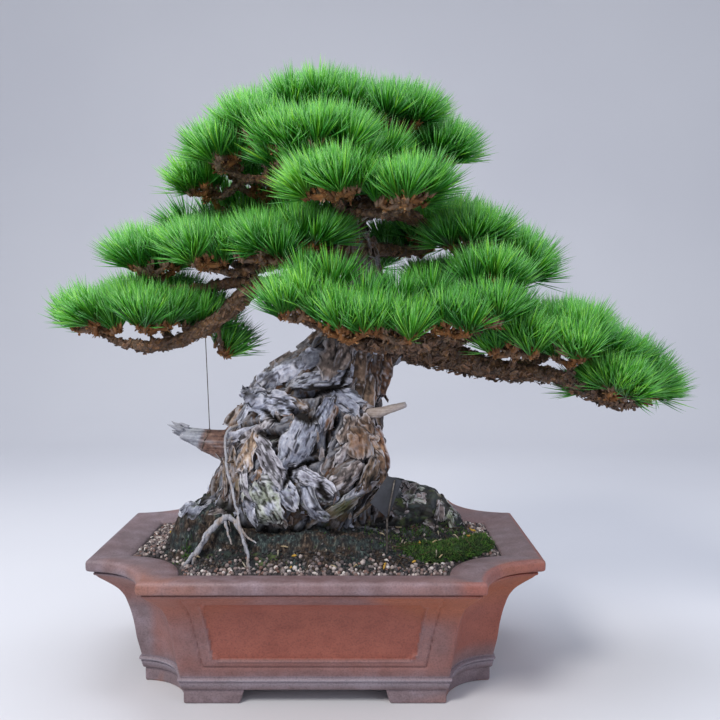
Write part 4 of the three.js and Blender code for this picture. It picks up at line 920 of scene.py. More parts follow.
def make_needles(name, base_at, cluster_axis, shape, material, random):
    """A spray's needles: pairs from sheaths that wind up each shoot, steeper towards its tip."""
    root, axis, owner_cluster = shoots_of(base_at, cluster_axis, random)
    shoots, pairs = len(root), FEWER_PAIRS.get(name, PAIRS)
    k = np.tile(np.arange(pairs), shoots)
    owner = np.repeat(np.arange(shoots), pairs)
    share = (k + 0.5) / pairs
    frame_of = frames_along(axis, random.random(shoots) * ROUND)[owner]
    lean = NEEDLE_SPREAD[0] + (NEEDLE_SPREAD[1] - NEEDLE_SPREAD[0]) * share + random.normal(0, 0.15, len(k))
    aside = fan_out(frame_of, k * GOLDEN)
    way = leant(frame_of, aside, lean)
    foot = root[owner] + frame_of[:, 2] * (share * SHOOT_LONG)[:, None] + aside * 1.2
    # The two of a pair part by a few degrees.
    part = unit(np.cross(way, random.normal(0, 1, way.shape)))
    foot = np.repeat(foot, 2, axis=0)
    sign = np.tile([1.0, -1.0], len(k))[:, None]
    way = unit(np.repeat(way, 2, axis=0) + np.repeat(part, 2, axis=0) * sign * PAIR_PARTS)
    long = random.uniform(*NEEDLE_LONG, len(way))
    long *= room_share(foot, foot + way * (long * 1.05)[:, None])
    kept = long > NEEDLE_LONG[0] * SHORTEST
    foot, way, long = foot[kept], way[kept], long[kept]
    count = len(way)
    frames = frames_along(way, random.random(count) * ROUND)
    base, faces = shape
    wide = NEEDLE_HALF * (1 + random.normal(0, 0.08, count))
    points = copies_of(base, np.column_stack([wide, wide, long]), frames, foot)
    # Needles bow a little towards the light.
    bow = random.uniform(-0.01, 0.05, count) * long * (1 - np.abs(way[:, 2]))
    points[:, :, 2] += base[None, :, 2] ** 2 * bow[:, None]
    piece = mesh_of_copies("needles_" + name + "_fine", points, faces)
    cluster_tint = random.normal(0, 0.11, len(base_at))[owner_cluster]
    shoot_tint = np.repeat(np.repeat(cluster_tint + random.normal(0, 0.07, shoots), pairs), 2)[kept]
    own = np.clip(0.46 + shoot_tint + random.normal(0, 0.24, count), 0, 1)
    inner = np.clip(np.repeat(1 - share, 2)[kept] * 0.8 + random.normal(0, 0.18, count), 0, 1)
    # Painted glint: how strongly each needle's tip is paled.
    glint = random.random(count) ** 2
    each = len(base)
    paint(piece, "needle_tone", [np.tile(base[:, 2], count), np.repeat(own, each), np.repeat(inner, each),
                                 np.repeat(glint, each)])
    dress(piece, material, "needles", "needles_" + name)
    return root, axis


def tube(line, radii, sides=6, uneven=None):
    """Closed skin round a line: points and triangles."""
    way = unit(np.gradient(line, axis=0))
    frames = frames_along(way, np.zeros(len(line)))
    turn = np.arange(sides) / sides * 2 * math.pi
    ring = np.cos(turn)[None, :, None] * frames[:, None, 0] + np.sin(turn)[None, :, None] * frames[:, None, 1]
    reach = np.asarray(radii)[:, None] * (np.ones((len(line), sides)) if uneven is None else uneven)
    points = (line[:, None] + ring * reach[:, :, None]).reshape(-1, 3)
    faces = []
    for i in range(len(line) - 1):
        for j in range(sides):
            a, b = i * sides + j, i * sides + (j + 1) % sides
            faces += [(a, b, b + sides), (a, b + sides, a + sides)]
    points = np.vstack([points, line[:1], line[-1:]])
    first, last = len(points) - 2, len(points) - 1
    top = (len(line) - 1) * sides
    for j in range(sides):
        k = (j + 1) % sides
        faces += [(first, k, j), (last, top + j, top + k)]
    return points, np.array(faces)


def join_parts(name, parts):
    """One piece from separate (points, triangles) parts in millimetres."""
    points, faces, base = [], [], 0
    for some, triangles in parts:
        points.append(some)
        faces.append(triangles + base)
        base += len(some)
    return piece_from(name, at(np.vstack(points)), np.vstack(faces))


def make_twigs(name, base, axis, root, shoot_axis, material, random):
    """The knobbly twigs that carry a spray's clusters, branching from its foot, and the shoots' own cores.
    Returns places on their bark for scales to stand on."""
    x, y, z, _, _ = SPRAYS[name]
    foot = np.array([x, y, z - SPRAY_DROP - 2])
    parts, seats = [], []
    joints = [foot]

    def knobbly(line, radii, sides, rough):
        uneven = 1 + random.normal(0, rough, (len(line), sides))
        parts.append(tube(line, radii, sides, np.clip(uneven, 0.6, 1.5)))
        seats.append(np.column_stack([line, radii, unit(np.gradient(line, axis=0))]))

    for k in np.argsort(np.linalg.norm(base[:, :2] - foot[:2], axis=1)):
        end = base[k] - axis[k] * 3
        near = min(joints, key=lambda j: np.linalg.norm(end - j) + 0.3 * np.linalg.norm(j - foot))
        count = max(4, int(np.linalg.norm(end - near) / 4.5))
        t = np.linspace(0, 1, count)
        line = near + (end - near) * t[:, None]
        line[:, 2] -= np.sin(t * math.pi) * 0.16 * np.linalg.norm(end - near)
        line[1:-1] += random.normal(0, 1.2, (count - 2, 3))
        knobbly(line, np.linspace(4.4, 3.2, count), 6, 0.16)
        if np.linalg.norm(end - foot) > 10:
            joints.append(line[count // 2])
        along = np.linspace(-5, 11, 6)[:, None]
        knob = base[k] + axis[k] * along + random.normal(0, 0.7, (6, 3))
        knobbly(knob, np.array([3.0, 4.0, 4.5, 4.2, 3.4, 2.0]), 7, 0.18)
    for k in range(len(root)):
        line = root[k] + shoot_axis[k] * np.linspace(-4, SHOOT_LONG, 4)[:, None]
        parts.append(tube(line, np.array([2.2, 2.4, 2.0, 1.2]), 5))
    piece = join_parts("twigs_" + name, parts)
    place = from_frame(points_of(piece))
    grey = steps(soft_noise(place, 22, 17), 0.45, 0.7) * 0.6
    paint(piece, "scale_tone", [np.clip(layered_noise(place, 7, 13), 0, 1), 0.0, grey])
    dress(piece, material, "bark", "tree")
    return np.vstack(seats)


def scale_shape():
    """One papery scale: a low five-sided cone, drawn out like a leaf and bent along its length."""
    piece = primitive("cone", vertices=5, radius1=0.5, radius2=0.0, depth=0.16)
    x, y, z = points_of(piece).T
    move_points(piece, np.column_stack([x, z + 0.35 * (y + 0.4) ** 2, y + 0.4]))
    return shape_arrays(piece)


def make_scales(name, seats, shape, material, random):
    """Papery scales standing off the twigs and the clusters' knobs."""
    count = len(seats) * SCALES_PER_SEAT
    row = np.repeat(seats, SCALES_PER_SEAT, axis=0)
    frames = frames_along(row[:, 4:7], random.random(count) * ROUND)
    aside, ahead = frames[:, 0], frames[:, 2]
    middle = row[:, :3] + ahead * random.uniform(-2.4, 2.4, count)[:, None] + aside * (row[:, 3:4] * 0.85)
    way = aside * random.uniform(0.25, 1.0, count)[:, None] + ahead * random.uniform(0.1, 1.1, count)[:, None]
    way += random.normal(0, 0.25, (count, 3))
    turned = frames_along(way, random.random(count) * ROUND)
    long = random.uniform(2.6, 6.4, count)
    wide = random.uniform(1.8, 4.0, count)
    base, faces = shape
    points = copies_of(base, np.column_stack([wide, wide, long]), turned, middle)
    piece = mesh_of_copies("bud_scales_" + name, points, faces, smooth=False)
    own = np.repeat(np.clip(random.normal(0.55, 0.25, count), 0, 1), len(base))
    edge = np.tile(np.where(base[:, 2] > 0.6, 0.55, 0.0), count)
    grey = np.repeat((random.random(count) < 0.14) * 0.7, len(base))
    paint(piece, "scale_tone", [own, edge, grey])
    return dress(piece, material, "bark", "tree")


# ---- tree ----
# Height, left and right edge, half depth and middle in depth of the old trunk.
TRUNK_LEVELS = np.array([
    (150, -160, 96, 82, -2), (172, -158, 90, 78, -4), (192, -152, 72, 78, -6), (214, -148, 62, 80, -8),
    (242, -143, 84, 82, -8), (269, -128, 88, 80, -8), (296, -123, 84, 74, -6), (318, -113, 85, 68, -4),
    (330, -110, 86, 63, -2), (350, -96, 85, 58, 0), (370, -90, 88, 54, 0), (384, -83, 92, 51, 0),
    (397, -54, 95, 48, 0), (417, -27, 98, 45, 0), (431, -8, 100, 43, 0), (446, 10, 99, 40, 0),
], dtype=float)
LEADER = np.array([(56, 0, 451), (61, 8, 484), (57, 10, 524), (43, 10, 564), (34, 10, 601), (21, 10, 637),
                   (4, 10, 670), (-8, 10, 696)], dtype=float)
LEADER_RADII = np.array([38, 32, 28, 23, 18, 13, 9, 6], dtype=float)
STUB = np.array([(-96, -24, 286), (-152, -30, 303), (-184, -30, 313)], dtype=float)
JINS = [np.array([(56, -47, 337), (84, -60, 342), (116, -62, 353)], dtype=float)]
ARCH_ROOT = (np.array([(-151, -116, 150), (-146, -115, 172), (-129, -107, 201), (-118, -100, 213),
                       (-106, -99, 216), (-95, -103, 204), (-86, -111, 184), (-80, -116, 152)], dtype=float),
             [2.8, 3.0, 3.4, 3.8, 3.5, 3.1, 2.4, 2.0])
AERIAL_ROOT = (np.array([(-103, -36, 322), (-117, -56, 311), (-112, -90, 280), (-100, -110, 245),
                         (-90, -122, 210), (-80, -131, 178), (-76, -133, 152)], dtype=float),
               [2.2, 1.8, 1.6, 1.6, 1.7, 1.7, 1.8])
CUT_BELOW = 148.0             # the tree is not shown under the soil
SPLITS = {"tree_foot": (None, 285.0), "tree_trunk": (285.0, 452.0), "tree_limbs": (452.0, None)}
BARK_VOXEL = 0.0022
TRUNK_EASING = 45             # rounds that level the trunk before its plates are laid
BARK_GRAIN = (0.35, 0.0, 1.0)
OUTSIDE = -90.0               # the height that a plate has past its own edge
OWN_STEP = 0.37               # from one plate's own number to the next one's, taken round from 0 to 1
PATCH_LUMPS, PATCH_SEED = (30, 30, 24), 61

# Sheets of bark that the front shows, roughly from the top: middle x and height, half length, half width,
# the way they run in degrees up from the right, how far they stand out, how far their upper edge is lifted,
# how far they swell, and tone: 0 silver, 1 buff, 2 rusty, 3 pale with lichen.
FRONT_SHEETS = [
    (-48, 402, 15, 4, 28, 3, 2, 1, 0.8), (-36, 411, 16, 4, 48, 5, 2, 1, 0.4),
    (-26, 418, 14, 3.5, 30, 3, 2, 1, 1), (-14, 426, 15, 4, 52, 5, 2, 1, 0.6),
    (-2, 435, 14, 4, 34, 3, 2, 1, 1.1), (-22, 408, 18, 4, 42, 3, 2, 1, 1.1),
    (-6, 418, 17, 4.5, 35, 3, -2, 1, 0.4), (9, 430, 15, 4.5, 55, 4, 2, 1, 0.9),
    (-34, 397, 18, 4.5, 26, 4, 2, 1, 0.8), (-10, 403, 24, 5, 38, 5, 2, 1, 0.1),
    (-44, 410, 9, 2.5, 70, 4, 2, 1, 1), (-20, 428, 9, 2.5, 15, 4, 2, 1, 0.7),
    (25, 411, 30, 17, 64, 8, 5, 3, 0.9), (-36, 389, 44, 11, 24, 9, 4, 3, 0),
    (4, 381, 38, 11, 12, 7, -3, 2, 0.3), (-58, 378, 24, 9, 40, 5, 3, 2, 0.2),
    (-62, 352, 34, 14, -14, 8, 4, 3, 0), (36, 354, 24, 15, -40, 6, 4, 2, 0.3),
    (6, 340, 21, 9, 60, 9, 2, 3, 0.2), (16, 334, 17, 6, 62, 6, 0, 1, 2),
    (40, 318, 20, 13, 70, 5, 2, 5, 0.9), (61, 316, 19, 12, 100, 5, -2, 4, 1.4),
    (50, 301, 22, 16, 90, 8, 0, 7, 1.4), (35, 290, 17, 9, 60, 4, 2, 3, 0.7),
    (67, 290, 18, 9, 115, 4, 2, 3, 1), (-24, 302, 36, 20, 63, 5, 3, 5, 0),
    (-57, 280, 36, 13, -66, 8, 3, 3, 0.6), (-82, 291, 28, 9, 72, 6, 2, 2, 1.4),
    (-104, 268, 34, 8, -70, 2, 2, 2, 1.3), (-90, 258, 30, 6, -74, 3, 2, 2, 0.6),
    (-117, 260, 28, 9, -60, 1, 2, 2, 1.5), (-64, 232, 26, 19, -66, 8, 3, 3, 3),
    (-80, 222, 17, 8, -75, 6, 2, 2, 0), (-49, 214, 15, 9, -60, 5, 2, 2, 0.9),
    (-39, 246, 22, 12, -50, 9, 2, 2, 0.2), (-8, 257, 34, 14, -30, 8, 4, 3, 0.5),
    (-5, 231, 22, 12, -58, 9, 3, 3, 0), (38, 262, 26, 12, 35, 5, 3, 4, 0.8),
    (64, 262, 24, 12, 60, 5, 2, 4, 1.2), (50, 244, 30, 10, 25, 6, 3, 3, 0.5),
    (74, 240, 20, 9, 50, 4, 2, 3, 1.6), (60, 224, 26, 10, 30, 4, 2, 4, 1.3),
    (30, 229, 22, 13, 24, 5, 2, 3, 1.3), (84, 300, 34, 7, -88, 4, 3, 2, 1.8),
    (74, 278, 30, 6, -80, 6, 3, 2, 1.5), (70, 388, 42, 8, -97, 4, 2, 2, 1.7),
    (52, 393, 36, 7, -93, 3, 3, 2, 1.6), (86, 392, 36, 7, -95, 3, 3, 2, 1.8),
    (62, 364, 24, 7, -100, 6, 3, 2, 1.2), (-108, 330, 18, 10, 50, 5, 3, 2, 1.6),
    (-74, 318, 26, 6, 30, 4, 2, 1, 0.7), (-94, 312, 26, 5, 18, 4, 2, 1, 0.5),
    (-30, 352, 20, 7, -30, 2, 3, 1, 1.1), (-84, 360, 17, 7, 136, 5, 3, 2, 0),
]
# Dark hollows between them: middle x and height, half length, half width, way, depth.
FRONT_HOLLOWS = [
    (4, 368, 36, 6, 12, 15), (-18, 338, 20, 8, -25, 13), (23, 329, 10, 5, 65, 16),
    (-18, 277, 28, 3.6, 24, 10), (-84, 324, 24, 3.4, 16, 10), (-58, 313, 15, 7, -10, 12),
    (-36, 264, 19, 5, 68, 10), (12, 300, 26, 3.4, 80, 9), (-42, 400, 30, 3, 38, 8),
    (30, 380, 20, 4, 60, 10), (-60, 338, 22, 3.4, -30, 9), (10, 244, 16, 4, -60, 9),
]
# For each kind of bark: share of the ground that plates cover, half lengths, half widths, thickness.
PLATE_KINDS = {"trunk": (2.6, (11, 26), (3.2, 8), 6.0), "leader": (2.6, (12, 24), (5, 10), 5.0),
               "mound": (2.4, (12, 26), (7, 13), 5.0), "limb": (2.2, (7, 14), (3.5, 7), 2.4)}


def distance_to_line(points, line):
    """Distance to a bent line, how far along it the nearest place is from 0 to 1, and that place."""
    best = np.full(len(points), 1e9)
    where = np.zeros(len(points))
    foot = np.zeros_like(points)
    for i in range(len(line) - 1):
        a, b = line[i], line[i + 1]
        part = np.clip(((points - a) @ (b - a)) / np.dot(b - a, b - a), 0, 1)
        place = a + part[:, None] * (b - a)
        away = np.linalg.norm(points - place, axis=1)
        closer = away < best
        best[closer] = away[closer]
        where[closer] = (i + part[closer]) / (len(line) - 1)
        foot[closer] = place[closer]
    return best, where, foot


def trunk_share(p):
    """1 on the old trunk, falling to 0 on limbs."""
    x, y, z = p.T
    left, right, deep, middle = (np.interp(z, TRUNK_LEVELS[:, 0], column) for column in TRUNK_LEVELS.T[1:])
    out = np.hypot((x - (left + right) / 2) / ((right - left) / 2), (y - middle) / deep)
    return (1 - steps(out, 1.15, 1.4)) * (1 - steps(z, 440, 470)) * steps(z, 180, 200)


def bark_zones(p):
    """How much each point belongs to the trunk, the leader above it, the root mounds, the limbs, the broken
    stub, the bare wood and the loose roots."""
    z, trunk = p[:, 2], trunk_share(p)
    away, where, _ = distance_to_line(p, LEADER)
    girth = np.interp(where, np.linspace(0, 1, len(LEADER)), LEADER_RADII)
    leader = (1 - steps(away / girth, 1.3, 1.7)) * steps(z, 430, 460)
    mound = (1 - trunk) * (1 - steps(z, 235, 260))
    near, along, foot = distance_to_line(p, STUB)
    stub = (1 - steps(near, 28, 36)) * steps(along, 0.05, 0.3)
    bare = np.zeros(len(p))
    for line in JINS:
        away, part, _ = distance_to_line(p, line)
        bare = np.maximum(bare, (1 - steps(away, 9, 13)) * steps(part, 0.02, 0.25))
    loose, core = np.zeros(len(p)), p.copy()
    for line, _ in (ARCH_ROOT, AERIAL_ROOT):
        away, _, foot_on = distance_to_line(p, line)
        share = 1 - steps(away, 9, 12)
        core = np.where((share > loose)[:, None], foot_on, core)
        loose = np.maximum(loose, share)
    loose *= steps(-p[:, 1], 84, 92) * (1 - trunk)
    trunk = trunk * (1 - stub) * (1 - bare)
    mound = mound * (1 - stub) * (1 - bare) * (1 - loose)
    limb = np.clip(1 - trunk - leader - mound - stub - bare - loose, 0, 1)
    return {"trunk": trunk, "leader": leader, "mound": mound, "limb": limb, "stub": stub, "bare": bare,
            "loose": loose, "stub_along": along, "stub_foot": foot, "core": core}


def eased(points, edges, weight, rounds):
    """Levels a surface by moving each point towards the middle of its neighbours."""
    a, b = edges[:, 0], edges[:, 1]
    degree = np.bincount(edges.ravel(), minlength=len(points))[:, None]
    weight = np.asarray(weight)[:, None] * 0.7
    for _ in range(rounds):
        total = np.stack([np.bincount(a, column[b], len(points)) + np.bincount(b, column[a], len(points))
                          for column in points.T], axis=1)
        points = points + (total / degree - points) * weight
    return points


def plate_rows(p, normal, zones, random):
    """Which plate lies over which point: the point, the place within the plate along and across its grain,
    the plate's sizes and its number."""
    rows = []
    for kind, (cover, longs, wides, thick) in PLATE_KINDS.items():
        members = np.flatnonzero(zones[kind] > 0.5)
        ground = len(members) * (BARK_VOXEL / MM) ** 2
        count = int(ground * cover / (math.pi * np.mean(longs) * np.mean(wides)))
        for seat in random.choice(members, count, replace=False):
            out = normal[seat]
            up = np.array(BARK_GRAIN) if kind in ("trunk", "leader") else random.normal(0, 1, 3)
            grain = unit(up - out * np.dot(up, out))
            turn = random.normal(0, 0.42)
            grain = grain * math.cos(turn) + np.cross(out, grain) * math.sin(turn)
            half_long, half_wide = random.uniform(*longs), random.uniform(*wides)
            away = p[members] - p[seat]
            close = np.einsum("ij,ij->i", away, away) < (1.6 * half_long) ** 2
            close &= normal[members] @ out > 0.15
            u, v = away[close] @ grain, away[close] @ np.cross(out, grain)
            near = np.hypot(u / half_long, v / half_wide) < 1.75
            level = random.uniform(-0.7, 0.25) * thick
            tone = random.choice([0.0, 0.3, 0.8, 1.2, 1.8, 2.2], p=[0.27, 0.21, 0.2, 0.14, 0.1, 0.08])
            tilt = random.normal(0, 0.45) * thick
            row = (half_long, half_wide, level, tilt, 0.12 * thick, tone, thick, len(rows) + 1)
            rows.append(np.column_stack([members[close][near], u[near], v[near],
                                         np.tile(row, (np.count_nonzero(near), 1))]))
    return np.concatenate(rows).T


def lay_plates(p, normal, zones, random):
    """The bark's height over the bare form, its tone and the grain that its colour follows."""
    point, u, v, *sizes = plate_rows(p, normal, zones, random)
    half_long, half_wide, level, tilt, dome, tone, thick, number = sizes
    point = point.astype(np.int64)
    scale = thick / 8.5
    lattice = np.column_stack([u / scale, v / scale, number * 17.0])
    ragged = layered_noise(lattice, (13, 7, 9), 501, 4) - 0.5
    reach = (np.abs(u / half_long) ** 2.4 + np.abs(v / half_wide) ** 2.4) ** (1 / 2.4) + ragged
    grain = layered_noise(lattice, (46, 5.0, 9), 521, 3)
    strata = layered_noise(lattice, (30, 3.6, 9), 511, 3) - 0.5
    rise = np.clip((1 - reach) / 0.6 + 0.9 * strata, 0, 1) * 4
    stairs = (np.floor(rise) + steps(rise % 1, 0.0, 0.22)) / 4
    height = level + tilt * v / half_wide + dome * (1 - reach**2) + thick * (stairs - 1 + 0.5 * (grain - 0.5))
    height[reach > 1] = OUTSIDE
    order = np.lexsort((height, point))
    point, height = point[order], height[order]
    last = np.append(point[1:] != point[:-1], True) & (height > OUTSIDE)
    over = point[last]
    floor_thick = sum(zones[kind] * row[3] for kind, row in PLATE_KINDS.items())
    base_grain = layered_noise(p, (9, 9, 34), 531, 3)
    lying = np.maximum(zones["stub"], zones["bare"]) > 0.3
    result = {"height": -floor_thick * (0.95 - 0.5 * base_grain), "tone": np.full(len(p), 1.2),
              "u": np.where(lying, p[:, 0], p[:, 2]), "v": np.where(lying, p[:, 2], p[:, 0]),
              "own": np.zeros(len(p))}
    kept = order[last]
    for key, value in (("height", height[last]), ("tone", tone[kept]), ("u", u[kept]), ("v", v[kept]),
                       ("own", number[kept] * OWN_STEP % 1)):
        result[key][over] = value
    result["height"] -= hollow_depth(p) * (normal[:, 1] < 0.1) * (zones["trunk"] > 0.3)
    return result


def hollow_depth(p):
    """How deep the dark hollows of the front are at each point."""
    deep = np.zeros(len(p))
    wander = 0.5 * (layered_noise(p, 9, 541, 2) - 0.5)
    for x, z, half_long, half_wide, degrees, depth in FRONT_HOLLOWS:
        c, s = math.cos(math.radians(degrees)), math.sin(math.radians(degrees))
        dx, dz = p[:, 0] - x, p[:, 2] - z
        away = np.hypot((dx * c + dz * s) / half_long, (dz * c - dx * s) / half_wide) + wander
        deep = np.maximum(deep, depth * (1 - steps(away, 0.5, 1.1)))
    return deep * (p[:, 1] < -10)


def hollowness(points, normal, edges, rounds):
    """How far each point lies under the middle of its surroundings, in millimetres."""
    return np.einsum("ij,ij->i", eased(points, edges, np.ones(len(points)), rounds) - points, normal)


def damp_and_shade_share(p, patch):
    """How far bark is dark with damp, soil and painted shade: low down, and higher at the front than on the
    left.
    """
    rise = 26 * steps(-p[:, 0], 84, 108)
    return 1 - steps(p[:, 2] + 30 * (patch - 0.5) - rise, 188, 208)


def patch_share(p, x, z, half_x, half_z):
    """A soft patch on the front of the trunk."""
    return np.exp(-(((p[:, 0] - x) / half_x) ** 2 + ((p[:, 2] - z) / half_z) ** 2)) * (p[:, 1] < -20)


def boss_share(p):
    """The brown patch on the boss at the right of the front."""
    return patch_share(p, 52, 304, 13, 20)


def algae_share(p):
    algae = 0.7 * steps(layered_noise(p, (11, 11, 8), 83, 4), 0.58, 0.74) * (1 - steps(p[:, 2], 236, 280))
    algae += 0.9 * patch_share(p, 32, 224, 16, 15)
    return np.clip(algae, 0, 1)


def tone_shares(tone):
    """How rusty, how buff and how crusted with lichen a tone of FRONT_SHEETS is."""
    clear = tone < 2.6
    return steps(tone, 1.3, 2.2) * clear, steps(tone, 0.3, 1.1) * clear, steps(tone, 2.5, 2.9)


def paint_coat(piece, *rows):
    """The four rows of numbers that the bark's colour follows."""
    for name, columns in zip(("bark_form", "bark_tone", "bark_age", "bark_grain"), rows):
        paint(piece, name, columns)


def paint_bark(piece, p, coat, zones, dent, broad):
    """Colours the trunk and the limbs by their zones, plates, hollows and damp."""
    (x, _, z), mound, stub = p.T, zones["mound"], zones["stub"]
    patch = layered_noise(p, PATCH_LUMPS, PATCH_SEED)
    top = steps(normals_of(piece)[:, 2], 0.45, 0.8)
    # Painted shade: near black where the skin lies below its surroundings, and over the trunk's skin between
    # and under the sheets.
    crack_and_shade = np.clip(0.85 * steps(dent, 0.08, 0.9) + 0.9 * steps(broad, 0.5, 3.4), 0, 1)
    crack_and_shade = np.maximum(crack_and_shade, 0.6 * zones["trunk"]) * (1 - 0.6 * zones["bare"] - 0.5 * zones["loose"])
    # Painted highlight: pale where the skin stands out above its surroundings, both as paler broken edges and
    # as light catching them.
    pale = np.clip(steps(-dent, 0.25, 1.2) * 0.7 + 0.2 * steps(-broad, 0.8, 3), 0, 1)
    pale *= 1 - 0.85 * zones["limb"]
    young = np.clip(zones["limb"] + (0.55 + 0.4 * steps(z, 505, 550)) * zones["leader"], 0, 1)
    left_mound = mound * (x < -60)
    # Damp soil with painted shade: dark low down and over the root mounds' sides.
    low = np.maximum(damp_and_shade_share(p, patch), mound * 0.92)
    low *= 1 - 0.85 * left_mound * top * steps(patch, 0.35, 0.5) * steps(z, 178, 192)
    low *= 1 - (0.8 * (mound - left_mound) * top * steps(layered_noise(p, (14, 14, 10), 67), 0.55, 0.66)
                * steps(z, 176, 186))
    knob = boss_share(p) * zones["trunk"]
    # Painted warm light: buff and rust laid on the trunk's right side.
    right = zones["trunk"] * steps(x + 26 * (patch - 0.5), 52, 84)
    stub_brown = stub * steps(0.56 - zones["stub_along"] + 0.2 * (patch - 0.5), 0, 0.1)
    stub_grey = stub * steps(zones["stub_along"] + 0.2 * (patch - 0.5), 0.48, 0.62)
    rust, buff, crusted = tone_shares(coat["tone"] * (1 - stub) + 0.8 * mound * (1 - top))
    rust = np.clip(0.85 * rust + 0.8 * knob + 0.35 * right + 0.85 * stub_brown, 0, 1)
    buff = np.clip(buff + 0.6 * right, 0, 1) * (1 - stub_grey)
    lichen = np.clip(crusted + mound * top * 0.55 * (x > 0) * (z > 184), 0, 1)
    paint_coat(piece,
               [coat["own"], crack_and_shade, young, np.maximum(zones["bare"], zones["loose"])],
               [np.clip(low, 0, 1) * (1 - stub), rust, buff, algae_share(p) * 0.75],
               [lichen, pale, np.clip(stub_grey, 0, 1)],
               [coat["u"] / 26, coat["v"] / 2.6, coat["own"] * 40])


def cut_level(height, below):
    """Cuts the mesh in edit mode flat at a height, and takes off what is below it or above it."""
    bpy.ops.mesh.select_all(action="SELECT")
    bpy.ops.mesh.bisect(plane_co=(0, 0, height * MM), plane_no=(0, 0, 1), use_fill=True, clear_inner=below,
                        clear_outer=not below)


class Skin(typing.NamedTuple):
    """The tree's bare form, and the barked skin over it, point by point."""
    form_at: np.ndarray
    form_normal: np.ndarray
    ground: BVHTree
    at: np.ndarray
    normal: np.ndarray
    surface: BVHTree
    zones: dict


def make_tree(material):
    tree = copy_of_node("tree", "tree_whole")
    with edit_mode(tree):
        cut_level(CUT_BELOW, True)
    remesh(tree, BARK_VOXEL)
    edges = read_rows(tree.data.edges, "vertices", 2, np.int64)
    p = from_frame(points_of(tree))
    p = eased(p, edges, np.ones(len(p)), 4)
    zones = bark_zones(p)
    p = eased(p, edges, zones["trunk"] + 0.5 * zones["leader"], TRUNK_EASING)
    taper = zones["stub"] * 0.1 * steps(zones["stub_along"], 0.3, 1.0)
    p = p + (zones["stub_foot"] - p) * taper[:, None]
    p = p + (zones["core"] - p) * (0.72 * zones["loose"])[:, None]
    move_points(tree, at(p))
    normal = normals_of(tree)
    ground = surface_tree(tree)
    coat = lay_plates(p, normal, zones, np.random.default_rng(5))
    streaks = layered_noise(p * (0.3, 1, 1), (14, 5, 5), 551, 3) - 0.5
    out = coat["height"] * (1 - zones["stub"]) * (1 - zones["bare"]) * (1 - zones["loose"])
    out += (5 * zones["stub"] + 1.6 * zones["bare"]) * streaks - 0.4 * zones["loose"]
    push = normal * (out + 2 * zones["trunk"])[:, None]
    push[:, 2] += zones["trunk"] * 0.2 * out
    q = p + push * steps(p[:, 2], CUT_BELOW + 2, CUT_BELOW + 14)[:, None]
    q = eased(q, edges, np.ones(len(p)), 1)
    move_points(tree, at(q))
    skin = Skin(p, normal, ground, q, normals_of(tree), surface_tree(tree), zones)
    dent, broad = (hollowness(q, skin.normal, edges, rounds) for rounds in (5, 40))
    paint_bark(tree, q, coat, zones, dent, broad)
    for name, (low, high) in SPLITS.items():
        piece = duplicate(tree, name)
        with edit_mode(piece):
            for level, below in ((low, True), (high, False)):
                if level is not None:
                    cut_level(level, below)
        smooth_by_angle(piece, 38)
        dress(piece, material, "bark", "tree")
    bpy.data.objects.remove(tree)
    return skin


def flake_shapes(random):
    """Four ragged chips of bark, thin at the edge, from a low cone that is knocked out of round and bent."""
    shapes = []
    for _ in range(4):
        piece = primitive("cone", vertices=11, radius1=1.0, radius2=0.0, depth=0.24)
        points = points_of(piece)
        rim = points[:, 2] < 0
        points[rim, :2] *= random.uniform(0.45, 1.2, np.count_nonzero(rim))[:, None]
        points[:, 2] += 0.22 * points[:, 1] ** 2
        move_points(piece, points)
        shapes.append(shape_arrays(piece))
    return shapes


def sheet_plan(half_long, half_wide, number):
    """The places of a sheet along and across its grain, with splintered ends and broken sides, and their
    shares of the way out to its rim."""
    rows = max(7, int(2 * half_wide / SHEET_STEP[1]))
    columns = max(9, int(2 * half_long / SHEET_STEP[0]))
    far, wide = np.meshgrid(np.linspace(-1, 1, columns), np.linspace(-1, 1, rows), indexing="ij")
    far, wide = far.ravel(), wide.ravel()
    spot = np.column_stack([np.where(far > 0, 50.0, 0.0), wide * half_wide, np.full(len(far), number * 19.0)])
    end = 1 + 0.75 * (layered_noise(spot, 9, 711, 4) - 0.5)
    spot = np.column_stack([far * half_long, np.where(wide > 0, 50.0, 0.0), np.full(len(far), number * 23.0)])
    side = 1 + 1.1 * (layered_noise(spot, (15, 9, 9), 721, 4) - 0.5)
    narrow = 0.5 + 0.5 * np.sqrt(1 - np.abs(far) ** 4)
    return far * half_long * end, wide * half_wide * narrow * side, far, wide, (columns, rows)


def cell_corners(grid):
    """The four corners of each cell of a grid, in turn round the cell."""
    return grid[:-1, :-1], grid[1:, :-1], grid[1:, 1:], grid[:-1, 1:]


def lands_on(ground, place, way, off):
    """Where something that comes from off a surface lands on it, or the nearest place, and its normal."""
    start = Vector(at(place - way * off).tolist())
    spot, normal, _, _ = ground.ray_cast(start, Vector(way.tolist()), 2 * off * MM)
    if spot is None:
        spot, normal, _, _ = ground.find_nearest(Vector(at(place).tolist()))
    return from_frame(spot), np.array(normal)


